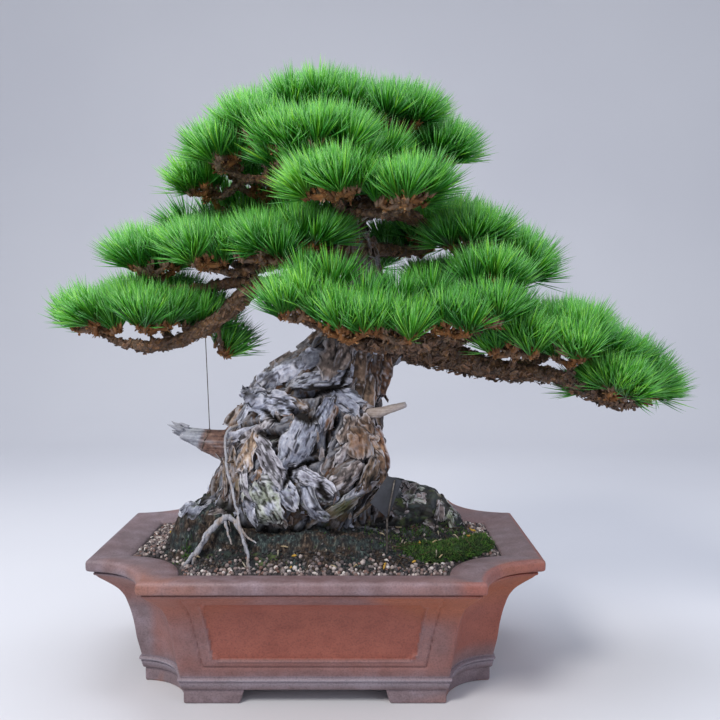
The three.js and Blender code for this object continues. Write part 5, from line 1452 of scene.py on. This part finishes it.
def make_sheets(name, material, rows, ground, random, damp=1.0):
    """Sheets of old bark that lie on the trunk like broken shingles, built up of thin layers along their
    grain. A row is seat, outward way, grain and the numbers of FRONT_SHEETS from half length on."""
    parts, numbers = [], []
    for number, (seat, out, grain, half_long, half_wide, level, tilt, dome, tone) in enumerate(rows):
        out, grain = unit(out), unit(grain - out * np.dot(grain, out))
        u, v, far, wide, (columns, across) = sheet_plan(half_long, half_wide, number)
        rough = seat + u[:, None] * grain + v[:, None] * np.cross(out, grain)
        feet, ways = np.empty_like(rough), np.empty_like(rough)
        for k, place in enumerate(rough):
            feet[k], ways[k] = lands_on(ground, place, -out, 45)
        # A sheet bridges gaps: it never follows the ground further than this from its own plane.
        depth = (feet - rough) @ out
        bridge = np.clip(depth, -0.5 * half_wide - 6, 0.25 * half_wide + 4)
        feet = np.where((np.abs(depth) > 0.7 * half_wide + 9)[:, None], rough + out * bridge[:, None], feet)
        ways = unit(ways + 0.5 * out)
        lattice = np.column_stack([u, v, np.full(len(u), number * 17.0)])
        layers = layered_noise(lattice, (38, 13, 9), 731, 4) * 5
        riser = layers % 1
        fibre = 0.65 * layered_noise(lattice, (19, 8, 9), 741, 2)
        fibre += 0.35 * layered_noise(lattice, (12, 2.8, 9), 745, 2)
        split = steps(0.022 - np.abs(layered_noise(lattice, (38, 11, 9), 747, 4) - 0.5), 0, 0.014)
        rim = np.maximum(np.abs(far), np.abs(wide))
        small = np.clip(half_wide / 9, 0.3, 1.0)
        curl = random.uniform(-1.5, 2.6) * small
        sunk = hollow_depth(feet)
        stairs = np.floor(layers) + steps(riser, 0.84, 0.99) - 2.5
        top = level + tilt * wide + dome * (1 - wide**2) * (1 - far**2) + curl * rim**3 - 0.6 * sunk
        top += small * (2.2 * stairs + 3.4 * (fibre - 0.5) - 1.1 * split)
        below = top - 1.3 - (4 + max(level, 0)) * (1 - rim**2)
        points = np.vstack([feet + ways * top[:, None], feet + ways * below[:, None]])
        index = np.arange(columns * across).reshape(columns, across)
        a, b, c, d = (part.ravel() for part in cell_corners(index))
        upper = np.vstack([np.column_stack([a, b, c]), np.column_stack([a, c, d])])
        loop = np.concatenate([index[:-1, 0], index[-1, :-1], index[:0:-1, -1], index[0, :0:-1]])
        after, deep = np.roll(loop, -1), len(top)
        skirt = np.vstack([np.column_stack([loop, loop + deep, after + deep]),
                           np.column_stack([loop, after + deep, after])])
        parts.append((points, np.vstack([upper, upper[:, ::-1] + deep, skirt])))
        # Painted shade: dark on each layer's step face and in the hollows that the sheet lies over, beside
        # the dark splits along the grain.
        crack_and_shade = 0.85 * steps(riser, 0.6, 0.84) * (1 - steps(riser, 0.9, 0.99)) + 0.85 * split
        crack_and_shade = np.clip(crack_and_shade + 0.3 * steps(0.38 - fibre, 0, 0.14) + sunk / 8, 0, 1)
        # Painted highlight: pale along the sheet's broken rim and the top edge of each layer.
        pale = np.clip(steps(rim, 0.82, 0.97) * 0.5 + 0.6 * (1 - steps(riser, 0.03, 0.3)), 0, 0.8)
        each = np.ones(deep)
        upper_side = np.column_stack([u, v, each * (number * OWN_STEP % 1), each * tone, crack_and_shade, pale])
        # Painted shade: the underside of each sheet is dark all over.
        under_side = upper_side * (1, 1, 1, 1, 0, 0) + (0, 0, 0, 0, 0.85, 0)
        numbers += [upper_side, under_side]
    piece = join_parts(name, parts)
    u, v, own, tone, crack_and_shade, pale = np.vstack(numbers).T
    p = from_frame(points_of(piece))
    x, z = p[:, 0], p[:, 2]
    patch = layered_noise(p, PATCH_LUMPS, PATCH_SEED)
    stringy = steps(layered_noise(p, (20, 20, 14), 79), 0.45, 0.58) * steps(z, 345, 395) * (z < 470)
    crack_and_shade = np.maximum(crack_and_shade, 0.66 * stringy)
    knob = boss_share(p)
    # Painted warm light: buff and rust laid on the trunk's right side.
    right = steps(x + 26 * (patch - 0.5), 52, 84) * (z < 450)
    crack_and_shade, pale = crack_and_shade * (1 - 0.6 * knob), pale * (1 - 0.8 * knob)
    rust, buff, crusted = tone_shares(tone)
    rust = np.clip(0.85 * rust + 0.7 * knob + 0.3 * right, 0, 1)
    # The damp share darkens low bark with damp soil and painted shade.
    paint_coat(piece,
               [own, crack_and_shade, 0.5 * steps(z, 450, 480) + 0.4 * steps(z, 505, 550), 0.0],
               [damp * damp_and_shade_share(p, patch), rust, np.clip(buff + 0.5 * right, 0, 1), 0.7 * algae_share(p)],
               [crusted * steps(layered_noise(p, 12, 751), 0.35, 0.5), pale, 0.0],
               [u / 30, v / 6.5, own * 40])
    smooth_by_angle(piece, 33)
    return dress(piece, material, "bark", "tree")


def front_rows(ground):
    """The sheets of FRONT_SHEETS as rows for make_sheets, seated on what the front shows."""
    rows = []
    for x, z, half_long, half_wide, degrees, level, tilt, dome, tone in FRONT_SHEETS:
        spot, way = lands_on(ground, np.array([x, -60.0, z]), np.array([0.0, 1.0, 0.0]), 90)
        grain = np.array([math.cos(math.radians(degrees)), 0, math.sin(math.radians(degrees))])
        way = unit(way + (0, -0.8, 0))
        rows.append((spot, way, grain, half_long, half_wide, level + FRONT_LIFT, 1.5 * tilt, dome, tone))
    return rows


def loose_rows(seats, p, normal, sizes, random):
    """Seeded sheets over the rest of the bark."""
    rows = []
    for seat in random.choice(seats, sizes["count"], replace=False):
        grain = BARK_GRAIN + random.normal(0, 0.35, 3)
        spans = [random.uniform(*sizes[key]) for key in ("long", "wide", "level")]
        tilt, dome = random.normal(0, sizes["tilt"]), random.uniform(0, 3) * sizes["tilt"] / 2
        rows.append((p[seat], normal[seat], grain, *spans, tilt, dome, random.choice(sizes["tones"])))
    return rows


def make_flakes(name, material, seats, skin, sizes, random, tones):
    """Loose chips of bark that stand off the surface along one edge, and give it a broken outline."""
    shapes = flake_shapes(random)
    chosen = random.choice(seats, min(len(seats), sizes["count"]), replace=False)
    for number, (base, faces) in enumerate(shapes):
        mine = chosen[number::len(shapes)]
        count, each = len(mine), len(base)
        out, foot = skin.normal[mine], skin.at[mine]
        up = BARK_GRAIN + random.normal(0, sizes["stray"], (count, 3))
        grain = unit(up - out * np.einsum("ij,ij->i", up, out)[:, None])
        side = np.cross(out, grain)
        lift = random.uniform(0.0, sizes["lift"], count)[:, None]
        face = unit(out * np.cos(lift) + side * np.sin(lift) * random.choice([-1, 1], (count, 1)))
        half_long, half_wide = (random.uniform(*sizes[key], count) for key in ("long", "wide"))
        frames = np.stack([grain, unit(np.cross(face, grain)), face], axis=1)
        foot = foot + out * random.uniform(0.0, sizes["off"], count)[:, None]
        points = copies_of(base, np.column_stack([half_long, half_wide, half_wide]), frames, foot)
        piece = mesh_of_copies(f"{name}_{number}", points, faces, smooth=False)
        own = np.repeat(random.random(count), each)
        rust, buff, _ = tone_shares(np.repeat(random.choice(tones, count), each))
        # Dark low down with damp soil and painted shade.
        low = np.repeat(1 - steps(skin.at[mine, 2], 188, 214), each)
        young = np.repeat(skin.zones["limb"][mine] + 0.5 * skin.zones["leader"][mine], each)
        # Painted highlight: pale along each chip's rim.
        rim = np.tile((base[:, 2] < 0.1) * 1.0, count)
        paint_coat(piece,
                   [own, 0.0, np.clip(young, 0, 1), 0.0],
                   [low, rust * 0.9, buff, 0.0],
                   [0.0, rim * np.clip(0.35 - 0.25 * young, 0, 1), 0.0],
                   [np.tile(base[:, 0], count), np.tile(base[:, 1] * 4, count), own * 40])
        dress(piece, material, "bark", "tree")


def make_loose_roots(material, random):
    """The arching root and the thin one that hangs to the soil, with rootlets where they meet the ground."""
    parts = []
    rootlets = [([(-147, -115, 176), (-156, -120, 164), (-166, -122, 154)], [2.6, 1.8, 1.0]),
                ([(-94, -103, 203), (-86, -112, 198), (-70, -122, 190)], [2.4, 1.6, 0.7]),
                ([(-126, -106, 204), (-136, -112, 196), (-140, -118, 186)], [2.2, 1.6, 0.9]),
                ([(-112, -101, 212), (-108, -108, 198), (-102, -112, 186)], [2.0, 1.4, 0.8])]
    rootlets = [(np.array(line, dtype=float), radii) for line, radii in rootlets]
    for line, radii in [ARCH_ROOT, AERIAL_ROOT, *rootlets]:
        t = np.linspace(0, 1, len(line))
        fine = np.linspace(0, 1, 12 * (len(line) - 1) + 1)
        curve = np.stack([smooth_through(t, line[:, k], fine) for k in range(3)], axis=1)
        curve += (np.stack([layered_noise(curve, 12, 601 + k, 4) for k in range(3)], axis=1) - 0.5) * 6
        radius = np.interp(fine, t, radii) * (0.7 + 0.6 * layered_noise(curve, 6, 611, 2))
        uneven = 1 + random.normal(0, 0.1, (len(curve), 10))
        parts.append(tube(curve, radius, 10, uneven))
    for k in range(11):
        turn = k * GOLDEN
        off = 6.5 * math.sqrt((k + 0.5) / 11)
        aside = np.array([0, math.cos(turn), math.sin(turn)])
        start = STUB[-1] + aside * off + (random.uniform(8, 16), 0, 0)
        along = unit(STUB[-1] - STUB[-2]) + 0.2 * aside * random.uniform(0.1, 1)
        t = np.linspace(0, 1, 5)[:, None]
        curve = start + along * t * random.uniform(10, 21) + random.normal(0, 0.4, (5, 3))
        parts.append(tube(curve, np.array([3.2, 3.0, 2.4, 1.5, 0.4]), 5))
    piece = join_parts("loose_roots", parts)
    place = from_frame(points_of(piece))
    tip = (place[:, 2] > 290) & (place[:, 0] < -150)
    # Dark near the soil with damp and painted shade.
    low = (1 - steps(place[:, 2] + 20 * (layered_noise(place, 9, 621) - 0.5), 150, 172)) * 0.7
    mottled = steps(layered_noise(place, 9, 623), 0.42, 0.56)
    along, across = np.where(tip, place[:, 0], place[:, 2]), np.where(tip, place[:, 2], place[:, 0])
    paint_coat(piece,
               [0.0, 0.0, 0.0, np.where(tip, 0.3, 1.0)],
               [low, 0.0, 0.2, 0.0],
               [0.0, 0.3 * mottled, np.where(tip, 1.0, 0.25 + 0.65 * mottled)],
               [along / 26, across / 2.6, 0.0])
    return dress(piece, material, "bark", "tree")


FRONT_LIFT = 1.5
SHEET_STEP = (2.4, 1.3)       # spacing of a sheet's points along and across its grain
SHEET_KINDS = {
    "trunk": {"count": 110, "long": (11, 28), "wide": (4, 11), "level": (-4.5, 1), "above": 205, "damp": 1.0,
              "tilt": 2.2, "tones": [0.0, 0.0, 0.3, 0.3, 0.8, 0.8, 1.2, 1.8, 2.2, 3.0]},
    "leader": {"count": 60, "long": (9, 20), "wide": (3, 8), "level": (-1.5, 2), "above": 452, "damp": 1.0,
               "tilt": 2.2, "tones": [0.0, 0.3, 0.8, 1.2, 1.8]},
    "mound": {"count": 90, "long": (5, 14), "wide": (3, 7), "level": (-1.2, 0.6), "above": 182, "damp": 0.35,
              "tilt": 0.6, "tones": [0.0, 0.3, 0.3, 3.0]},
}
TRUNK_FLAKES = {"count": 420, "long": (3.5, 12), "wide": (1.6, 4.6), "lift": 0.6, "off": 1.6, "stray": 0.3}
LEADER_FLAKES = {"count": 260, "long": (5, 13), "wide": (3, 6), "lift": 0.7, "off": 2.5, "stray": 0.5}
HANGING_FLAKES = {"count": 820, "long": (3.5, 9), "wide": (2, 4.6), "lift": 1.1, "off": 4.0, "stray": 1.2}
LIMB_FLAKES = {"count": 4100, "long": (2.6, 6.4), "wide": (1.6, 3.6), "lift": 0.9, "off": 1.4, "stray": 2.0}


# ---- soil and moss ----
BED_HALF, BED_NOTCH, BED_LOWEST = (232.5, 152.5), 75.0, 155.0


def make_soil(material):
    soil = copy_of_node("soil", "soil_bed")
    with edit_mode(soil):
        bpy.ops.mesh.select_all(action="DESELECT")
    for face in soil.data.polygons:
        face.select = face.normal.z > 0.6 and face.center.z > BED_LOWEST * MM
    # The chosen faces stay selected on the way into edit mode, so edit_mode doesn't serve here.
    bpy.ops.object.mode_set(mode="EDIT")
    bpy.ops.mesh.subdivide(number_cuts=5)
    bpy.ops.object.mode_set(mode="OBJECT")
    p = from_frame(points_of(soil))
    p[:, 2] += ((layered_noise(p, 14, 91) - 0.5) * 2.4 - 0.8) * steps(p[:, 2], 159.5, 161)
    move_points(soil, at(p))
    paint(soil, "grain_tone", [layered_noise(p, 5, 93), 0.85])
    return dress(soil, material, "soil_grit", "soil")


# Along X: how high the steep dark face rises, and how gently the grit rises before it.
HEAP_X = [-212, -195, -186, -177, -165, -150, -128, -105, -90, -60, -20, 20, 60, 90, 120, 180]
HEAP_FACE = [0, 10, 24, 40, 50, 54, 52, 38, 26, 19, 23, 21, 15, 7, 0, 0]
HEAP_SLOPE = [0, 4, 7, 9, 10, 10, 10, 11, 12, 12, 13, 12, 12, 11, 7, 0]
HEAP_FACE_AT = (-123.0, -93.0)
HEAP_BEHIND_ARCH = 11.0       # the face stands this much further back behind the arching root
HEAP_BACK = (-20.0, 40.0)
HEAP_STEP = 2.5
SOIL_TOP = 159.0


def rim_room(x, y):
    """Distance from the pot's inner edge, positive inside."""
    across, along = BED_HALF[0] - np.abs(x), BED_HALF[1] - np.abs(y)
    return np.minimum(np.minimum(across, along), np.hypot(across, along) - BED_NOTCH)


def heap_height(x, y):
    """How high soil and rotted roots are heaped against the foot of the trunk and the left mound."""
    room = rim_room(x, y)
    spot = np.column_stack([x, y, np.zeros(len(x))])
    wander = 12 * (layered_noise(spot, (34, 34, 9), 771) - 0.5)
    wander = wander - HEAP_BEHIND_ARCH * steps(x, -166, -150) * (1 - steps(x, -86, -70))
    face = np.interp(x, HEAP_X, HEAP_FACE) * steps(y + wander, *HEAP_FACE_AT)
    slope = np.interp(x, HEAP_X, HEAP_SLOPE) * steps(room, 3, 34)
    clods = layered_noise(spot, (7, 7, 9), 774, 3) - 0.5
    rough = 15 * (layered_noise(spot, (20, 20, 9), 773, 5) - 0.5) + 13 * clods
    back = 1 - steps(y, *HEAP_BACK)
    heap = (face + rough * (0.4 + face / 55)) * steps(room, 4, 20) + slope
    return heap * back - 2.0 * (1 - steps(room, 0, 8)) - 3 * (1 - back)


def make_heap(material):
    """Dark damp soil between the grit and the trunk: a closed skin over a grid, sunk a little in the bed."""
    gx, gy = np.meshgrid(np.arange(-214, 184, HEAP_STEP), np.arange(-150, 44, HEAP_STEP), indexing="ij")
    x, y = gx.ravel(), gy.ravel()
    inside = rim_room(x, y) > 1.0
    top = SOIL_TOP + np.where(inside, heap_height(x, y), -5.0)
    count = len(x)
    points = np.vstack([np.column_stack([x, y, top]), np.column_stack([x, y, np.full(count, SOIL_TOP - 9)])])
    cell = np.logical_and.reduce(cell_corners(inside.reshape(gx.shape)))
    a, b, c, d = (part[cell] for part in cell_corners(np.arange(count).reshape(gx.shape)))
    quads = np.vstack([np.column_stack([a, b, c, d]), np.column_stack([d, c, b, a]) + count])
    sides = np.vstack([np.column_stack([p, q]) for p, q in ((a, b), (b, c), (c, d), (d, a))])
    met = set(map(tuple, sides.tolist()))
    rim = np.array([pair for pair in sides.tolist() if (pair[1], pair[0]) not in met])
    skirt = np.column_stack([rim[:, 1], rim[:, 0], rim[:, 0] + count, rim[:, 1] + count])
    heap = piece_from("soil_heap", at(points), np.vstack([quads, skirt]))
    with edit_mode(heap):
        bpy.ops.mesh.delete_loose()
    return dress(heap, material, "soil_grit", "soil")


# Flat plates on top of the left heap: place, half length, half width, way in degrees, tone.
HEAP_SHEETS = [(-158, -84, 14, 9, 20, 0.0), (-146, -76, 13, 9, 30, 0.3),
               (-164, -70, 15, 10, 40, 0.0), (-150, -62, 13, 9, 10, 0.3),
               (-134, -72, 13, 8, 15, 0.0), (-138, -58, 13, 8, 0, 0.3), (-120, -84, 10, 5, 10, 0.8)]


def heap_rows(ground):
    rows = []
    for x, y, half_long, half_wide, degrees, tone in HEAP_SHEETS:
        seat, way = lands_on(ground, np.array([x, y, 200.0]), np.array([0.0, 0.0, -1.0]), 60)
        grain = np.array([math.cos(math.radians(degrees)), math.sin(math.radians(degrees)), 0])
        rows.append((seat, way, grain, half_long, half_wide, 1.2, 1.0, 1.6, tone))
    return rows


def grain_shapes(random):
    """Four worn grains, each from a ball knocked out of true."""
    shapes = []
    for _ in range(4):
        piece = primitive("ico_sphere", subdivisions=2, radius=0.5)
        points = points_of(piece)
        dents = layered_noise(points + random.random(3) * 9, 0.5, 7, 2) - 0.5
        move_points(piece, points * (1 + 0.5 * dents[:, None]))
        apply_modifier(piece, "DECIMATE", ratio=0.3)
        shapes.append(shape_arrays(piece))
    return shapes


def surface_below(trees):
    """Finds the height and owner of the highest surface under a place."""

    def look(x, y, top):
        start = Vector(at([x, y, top]).tolist())
        hits = [(tree.ray_cast(start, Vector((0, 0, -1)), 0.4)[0], owner) for owner, tree in trees.items()]
        hits = [(hit.z / MM, owner) for hit, owner in hits if hit is not None]
        return max(hits) if hits else (None, None)

    return look


SOIL, TREE, MOSS, HEAP = range(4)       # owners that surface_below tells apart
GRAIN_SPACING = 4.1
GRAIN_SIZES = (3.4, 6.2)
BARE_BAND = 22.0              # width of clean grit along the front of the rim
BARE_CORNER = 34.0            # and in the left and back corners
LITTER_TRIES = 190


def make_grains(material, look, random):
    """Loose grains all over the soil: clean along the rim, dark and damp towards the trunk."""
    shapes = grain_shapes(random)
    chosen = [[] for _ in shapes]
    placed = 0
    for gx in np.arange(-232, 233, GRAIN_SPACING):
        for gy in np.arange(-152, 153, GRAIN_SPACING):
            x, y = gx + random.uniform(-2.2, 2.2), gy + random.uniform(-2.2, 2.2)
            edge = rim_room(x, y)
            if edge < 1.5:
                continue
            height, owner = look(x, y, 232)
            if height is None or owner == MOSS:
                continue
            if owner == TREE and (height > 200 or random.random() < 0.2 + (height - 176) / 40):
                continue
            if owner == HEAP and height > 178 and random.random() < 0.62:
                continue
            band = BARE_CORNER if x < -190 or y > 60 else BARE_BAND if x > -105 else 15
            clean = edge + random.normal(0, 5) < band or random.random() < (0.02 if height > 172 else 0.06)
            size = random.uniform(*GRAIN_SIZES) * (1.0 if clean else random.choice([0.8, 0.55]))
            chosen[placed % len(shapes)].append((x, y, height + size * 0.16, size, clean))
            placed += 1
    for number, ((base, faces), rows) in enumerate(zip(shapes, chosen)):
        table = np.array(rows)
        count = len(table)
        frames = frames_along(random.normal(0, 1, (count, 3)), random.random(count) * ROUND)
        stretch = random.uniform(0.7, 1.15, (count, 3)) * table[:, 3:4]
        piece = mesh_of_copies(f"soil_grains_{number}", copies_of(base, stretch, frames, table[:, :3]), faces)
        own = random.beta(1.0, 1.0, count)
        damp = np.clip(np.where(table[:, 4] > 0.5, 0.02, 0.86) + random.normal(0, 0.1, count), 0, 0.96)
        paint(piece, "grain_tone", [np.repeat(own, len(base)), np.repeat(damp, len(base))])
        dress(piece, material, "soil_grit", "soil")


def make_litter(material, look, random):
    """What has dropped on the soil: dry needles, yellowed leaves and bits of pale root."""
    parts, tones = [], []

    def lay(line, radii, sides, tone):
        parts.append(tube(line, radii, sides))
        tones.append(np.full(len(parts[-1][0]), tone))

    for _ in range(LITTER_TRIES):
        x, y = random.uniform(-215, 215), random.uniform(-140, 60)
        height, _ = look(x, y, 215)
        if rim_room(x, y) < 8 or height is None or height > 180:
            continue
        turn = random.random() * ROUND
        kind = random.random()
        long = random.uniform(12, 26) if kind < 0.5 else random.uniform(4, 10)
        t = np.linspace(-0.5, 0.5, 4)
        line = np.column_stack([x + t * long * math.cos(turn), y + t * long * math.sin(turn), np.zeros(4)])
        for row in line:
            under, _ = look(row[0], row[1], 215)
            row[2] = (under if under and under < 200 else height) + 3.4
        if kind < 0.5:
            lay(line, [0.45, 0.5, 0.45, 0.2], 3, random.uniform(0.25, 0.5))
        elif kind < 0.62:
            line[:, 2] += np.array([0, 0.6, 1.2, 1.4]) * random.uniform(0.4, 2)
            lay(line, [0.5, 1.7, 1.5, 0.3], 4, random.uniform(0.62, 0.76))
        else:
            line[:, 2] += np.array([0, 1.6, 3, 2.4]) * random.uniform(0.2, 2)
            lay(line, [0.8, 1.0, 0.8, 0.3], 5, random.uniform(0.9, 1.0))
    piece = join_parts("soil_litter", parts)
    paint(piece, "litter_tone", [np.concatenate(tones)])
    return dress(piece, material, "soil_grit", "soil")


def make_moss_bed(material):
    moss = copy_of_node("moss", "moss_cushion")
    remesh(moss, 0.0018)
    apply_modifier(moss, "SMOOTH", factor=0.5, iterations=4)
    start, normal = points_of(moss), normals_of(moss)
    p = from_frame(start)
    edge, own = pads(p, 15, 401)
    puff = 5.0 * np.sqrt(np.clip(edge, 0, 1)) - 3.4 + 3.0 * (layered_noise(p, 5, 403) - 0.5)
    puff += 7 * (layered_noise(p, 26, 405) - 0.55)
    upper = steps(p[:, 2], 160, 163)
    move_points(moss, start + normal * (puff * upper)[:, None] * MM)
    tip = steps(puff, -2.0, 2.4) * steps(layered_noise(p, 20, 407), 0.3, 0.5)
    paint(moss, "moss_tone", [tip * 0.7, np.clip(0.1 + 0.5 * own, 0, 1)])
    return dress(moss, material, "moss", "moss")


MOSS_STEMS = 11000
# How many strays are tried, their middle and spread in X and Y, and how rarely one stays.
MOSS_STRAYS = [(1500, (150, 62), (-76, 34), 0.55), (1800, (172, 30), (-48, 20), 0.46)]


def make_moss_stems(moss, material, look, random):
    """Short leafy stems all over the cushion, thinner at its edge, and strays on the ground beside it."""
    points, normals = from_frame(points_of(moss)), normals_of(moss)
    thick = layered_noise(points, 20, 407)
    usable = np.flatnonzero((normals[:, 2] > -0.2) & (points[:, 2] > 161) & (thick > 0.32))
    picked = random.choice(usable, min(MOSS_STEMS, len(usable)), replace=False)
    foot, out = points[picked], normals[picked]
    strays = []
    for tries, along, across, rarity in MOSS_STRAYS:
        for _ in range(tries):
            x, y = random.normal(*along), random.normal(*across)
            height, owner = look(x, y, 215)
            if rim_room(x, y) < 5 or height is None or owner == MOSS or height > 198:
                continue
            if layered_noise(np.array([[x, y, 0.0]]), 17, 411)[0] > rarity:
                strays.append((x, y, height))
    for _ in range(110):
        x, y = random.normal(-160, 4.5), random.normal(-106, 3.5)
        strays.append((x, y, look(x, y, 232)[0]))
    foot = np.vstack([foot, strays])
    out = np.vstack([out, np.tile([0.0, 0.0, 1.0], (len(strays), 1))])
    stem = primitive("cone", vertices=3, radius1=0.5, radius2=0.0, depth=1.0, location=(0, 0, 0.5))
    bpy.ops.object.transform_apply(location=True, rotation=True, scale=True)
    base, faces = shape_arrays(stem)
    count = len(foot)
    frames = frames_along(out + random.normal(0, 0.5, (count, 3)), random.random(count) * ROUND)
    wide = random.uniform(0.9, 1.7, count)
    stretch = np.column_stack([wide, wide, random.uniform(2.6, 6.6, count)])
    stems = mesh_of_copies("moss_stems", copies_of(base, stretch, frames, foot), faces, smooth=False)
    own = np.repeat(random.random(count), len(base))
    paint(stems, "moss_tone", [np.tile(0.25 + 0.7 * base[:, 2], count), own])
    return dress(stems, material, "moss", "moss")


# ---- tag and wire ----
TAG_RIB = [(96, -114.2, 266), (93, -114.6, 250), (90, -114.6, 234), (88, -113.6, 219)]


def make_tag(material, rib_material):
    tag = copy_of_node("tag", "tag_plate")
    with edit_mode(tag):
        bpy.ops.mesh.dissolve_limited(angle_limit=0.02)
        bpy.ops.mesh.select_all(action="SELECT")
        bpy.ops.mesh.bevel(offset=0.4 * MM, segments=2, affect="EDGES")
    smooth_by_angle(tag, 35)
    rib = join_parts("tag_rib", [tube(np.array(TAG_RIB, dtype=float), [0.9, 1.0, 1.0, 1.1], 8)])
    dress(rib, rib_material, "tag", "tag")
    return dress(tag, material, "tag", "tag")


def keep_node(node, material):
    """A frame node whose shape is right keeps it, with a fuller material."""
    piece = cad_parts[node]
    piece.data.materials.clear()
    piece.data.materials.append(material)


# ---- stage ----
CAMERA_FROM_POT = (54.0, -1085.0, 474.5)
CAMERA_DOWN = math.radians(3.72)
FOCAL_PIXELS = 813.0
PICTURE_PIXELS = 720.0
SENSOR = 36.0
SWEEP_START, SWEEP_RADIUS, SWEEP_TOP = 1.6, 1.2, 4.5     # where the floor starts to rise behind, metres
FLOOR_FRONT, FLOOR_SIDE = -4.0, 7.0


def make_camera():
    data = bpy.data.cameras.new("camera")
    data.sensor_width = SENSOR
    data.sensor_fit = "HORIZONTAL"
    data.lens = FOCAL_PIXELS / PICTURE_PIXELS * SENSOR
    data.clip_start = 0.05
    data.clip_end = 50
    camera = in_scene("camera", data)
    camera.location = at(CAMERA_FROM_POT).tolist()
    camera.rotation_euler = (math.pi / 2 - CAMERA_DOWN, 0, 0)
    bpy.context.scene.camera = camera


def soft_light(name, place, aim, size, power, colour):
    data = bpy.data.lights.new(name, "AREA")
    data.shape = "DISK"
    data.size = size
    data.energy = power
    data.color = linear(colour)[:3]
    light = in_scene(name, data)
    light.location = place
    light.rotation_euler = (Vector(aim) - Vector(place)).to_track_quat("-Z", "Y").to_euler()


def make_stage():
    """A pale sheet that runs back along the floor and sweeps up behind, and light from the upper left."""
    turn = np.linspace(0, math.pi / 2, 25)
    sweep = zip(SWEEP_START + SWEEP_RADIUS * np.sin(turn), SWEEP_RADIUS * (1 - np.cos(turn)))
    run = [(FLOOR_FRONT, 0.0), *sweep, (SWEEP_START + SWEEP_RADIUS, SWEEP_TOP)]
    points = [(side, y, z) for y, z in run for side in (-FLOOR_SIDE, FLOOR_SIDE)]
    faces = [(2 * i, 2 * i + 1, 2 * i + 3, 2 * i + 2) for i in range(len(run) - 1)]
    floor = piece_from("stage_floor", points, faces)
    material, node, place = new_material("studio_paper")
    cloud = node("TexNoise", {"Vector": place, "Scale": PER_METRE / 900, "Detail": 2, "Roughness": 0.55})
    tone = node("ValToRGB", {"Fac": cloud, "stops": [(0.3, "#d2d3d8"), (0.7, "#d7d8dc")]})
    finish_material(material, tone, 0.9, [])
    floor.data.materials.append(material)
    world = bpy.data.worlds.new("studio")
    world.use_nodes = True
    back = world.node_tree.nodes["Background"]
    back.inputs["Color"].default_value = linear("#dfe4f2")
    back.inputs["Strength"].default_value = 0.72
    bpy.context.scene.world = world
    soft_light("key", (-1.1, -1.4, 1.9), (0, 0, 0.35), 0.8, 37, "#fdf8f2")
    soft_light("fill", (1.7, -1.3, 0.9), (0, 0, 0.35), 1.4, 6, "#e9f0ff")
    soft_light("top", (-0.1, 0.2, 2.3), (0, 0, 0.4), 1.4, 24, "#f1f5ff")
    scene = bpy.context.scene
    scene.view_settings.view_transform = "Standard"
    scene.view_settings.look = "None"


def main():
    make_camera()
    make_stage()
    clay, old_bark, green = stoneware(), bark(), needle_green()
    scale, grains, moss_tone, litter = bud_scale(), grit(), moss_green(), dropped_litter()
    wire, label, mesh_plastic = dull_wire(), slate_plastic(), screen_plastic()
    make_pot(clay)
    make_pot_feet(clay)
    skin = make_tree(old_bark)
    zones, height = skin.zones, skin.at[:, 2]
    random = np.random.default_rng(21)
    make_sheets("bark_sheets_front", old_bark, front_rows(skin.ground), skin.ground, random)
    for zone, sizes in SHEET_KINDS.items():
        seats = (zones[zone] > 0.7) & (skin.form_at[:, 2] > sizes["above"])
        if zone == "mound":
            seats &= (skin.form_normal[:, 2] > 0.3) & (layered_noise(skin.form_at, 30, 761) > 0.42)
        rows = loose_rows(np.flatnonzero(seats), skin.form_at, skin.form_normal, sizes, random)
        make_sheets("bark_sheets_" + zone, old_bark, rows, skin.ground, random, sizes["damp"])
    limb = zones["limb"] > 0.7
    beneath = (skin.normal[:, 2] < 0.25) & (height < 440) & (height > 330) & (skin.at[:, 0] > 60)
    for name, seats, sizes, tones in (
            ("trunk_flakes", (zones["trunk"] > 0.6) & (height > 176) & (boss_share(skin.at) < 0.2),
             TRUNK_FLAKES, [0.0, 0.3, 0.8, 1.4, 1.9]),
            ("leader_flakes", zones["leader"] > 0.6, LEADER_FLAKES, [0.3, 0.8, 1.4, 1.9]),
            ("limb_flakes", limb & (height > 250), LIMB_FLAKES, [0.8, 1.4, 1.9, 2.2]),
            ("hanging_bark", limb & beneath, HANGING_FLAKES, [1.4, 1.9, 2.2])):
        make_flakes(name, old_bark, np.flatnonzero(seats), skin, sizes, random, tones)
    make_loose_roots(old_bark, random)
    soil = make_soil(grains)
    heap = make_heap(damp_soil())
    moss = make_moss_bed(moss_tone)
    heap_ground = surface_tree(heap)
    make_sheets("bark_sheets_heap", old_bark, heap_rows(heap_ground), heap_ground, random, 0.2)
    grounds = {SOIL: surface_tree(soil), TREE: skin.surface, MOSS: surface_tree(moss), HEAP: heap_ground}
    look = surface_below(grounds)
    make_grains(grains, look, np.random.default_rng(12))
    make_litter(litter, look, np.random.default_rng(13))
    make_moss_stems(moss, moss_tone, look, np.random.default_rng(14))
    needle, papery = needle_shape(), scale_shape()
    random = np.random.default_rng(31)
    bases = {name: clusters_of(name, random) for name in SPRAYS}
    axes = leans_of(bases, random)
    for number, name in enumerate(SPRAYS):
        random = np.random.default_rng(1000 + number)
        base, axis = bases[name], axes[name]
        root, shoot_axis = make_needles(name, base, axis, needle, green, random)
        seats = make_twigs(name, base, axis, root, shoot_axis, scale, random)
        make_scales(name, seats, papery, scale, random)
    make_tag(label, wire)
    for node in ("tie_wire", "tag_stake"):
        keep_node(node, wire)
    for node in ("drain_screen_left", "drain_screen_right"):
        keep_node(node, mesh_plastic)


main()
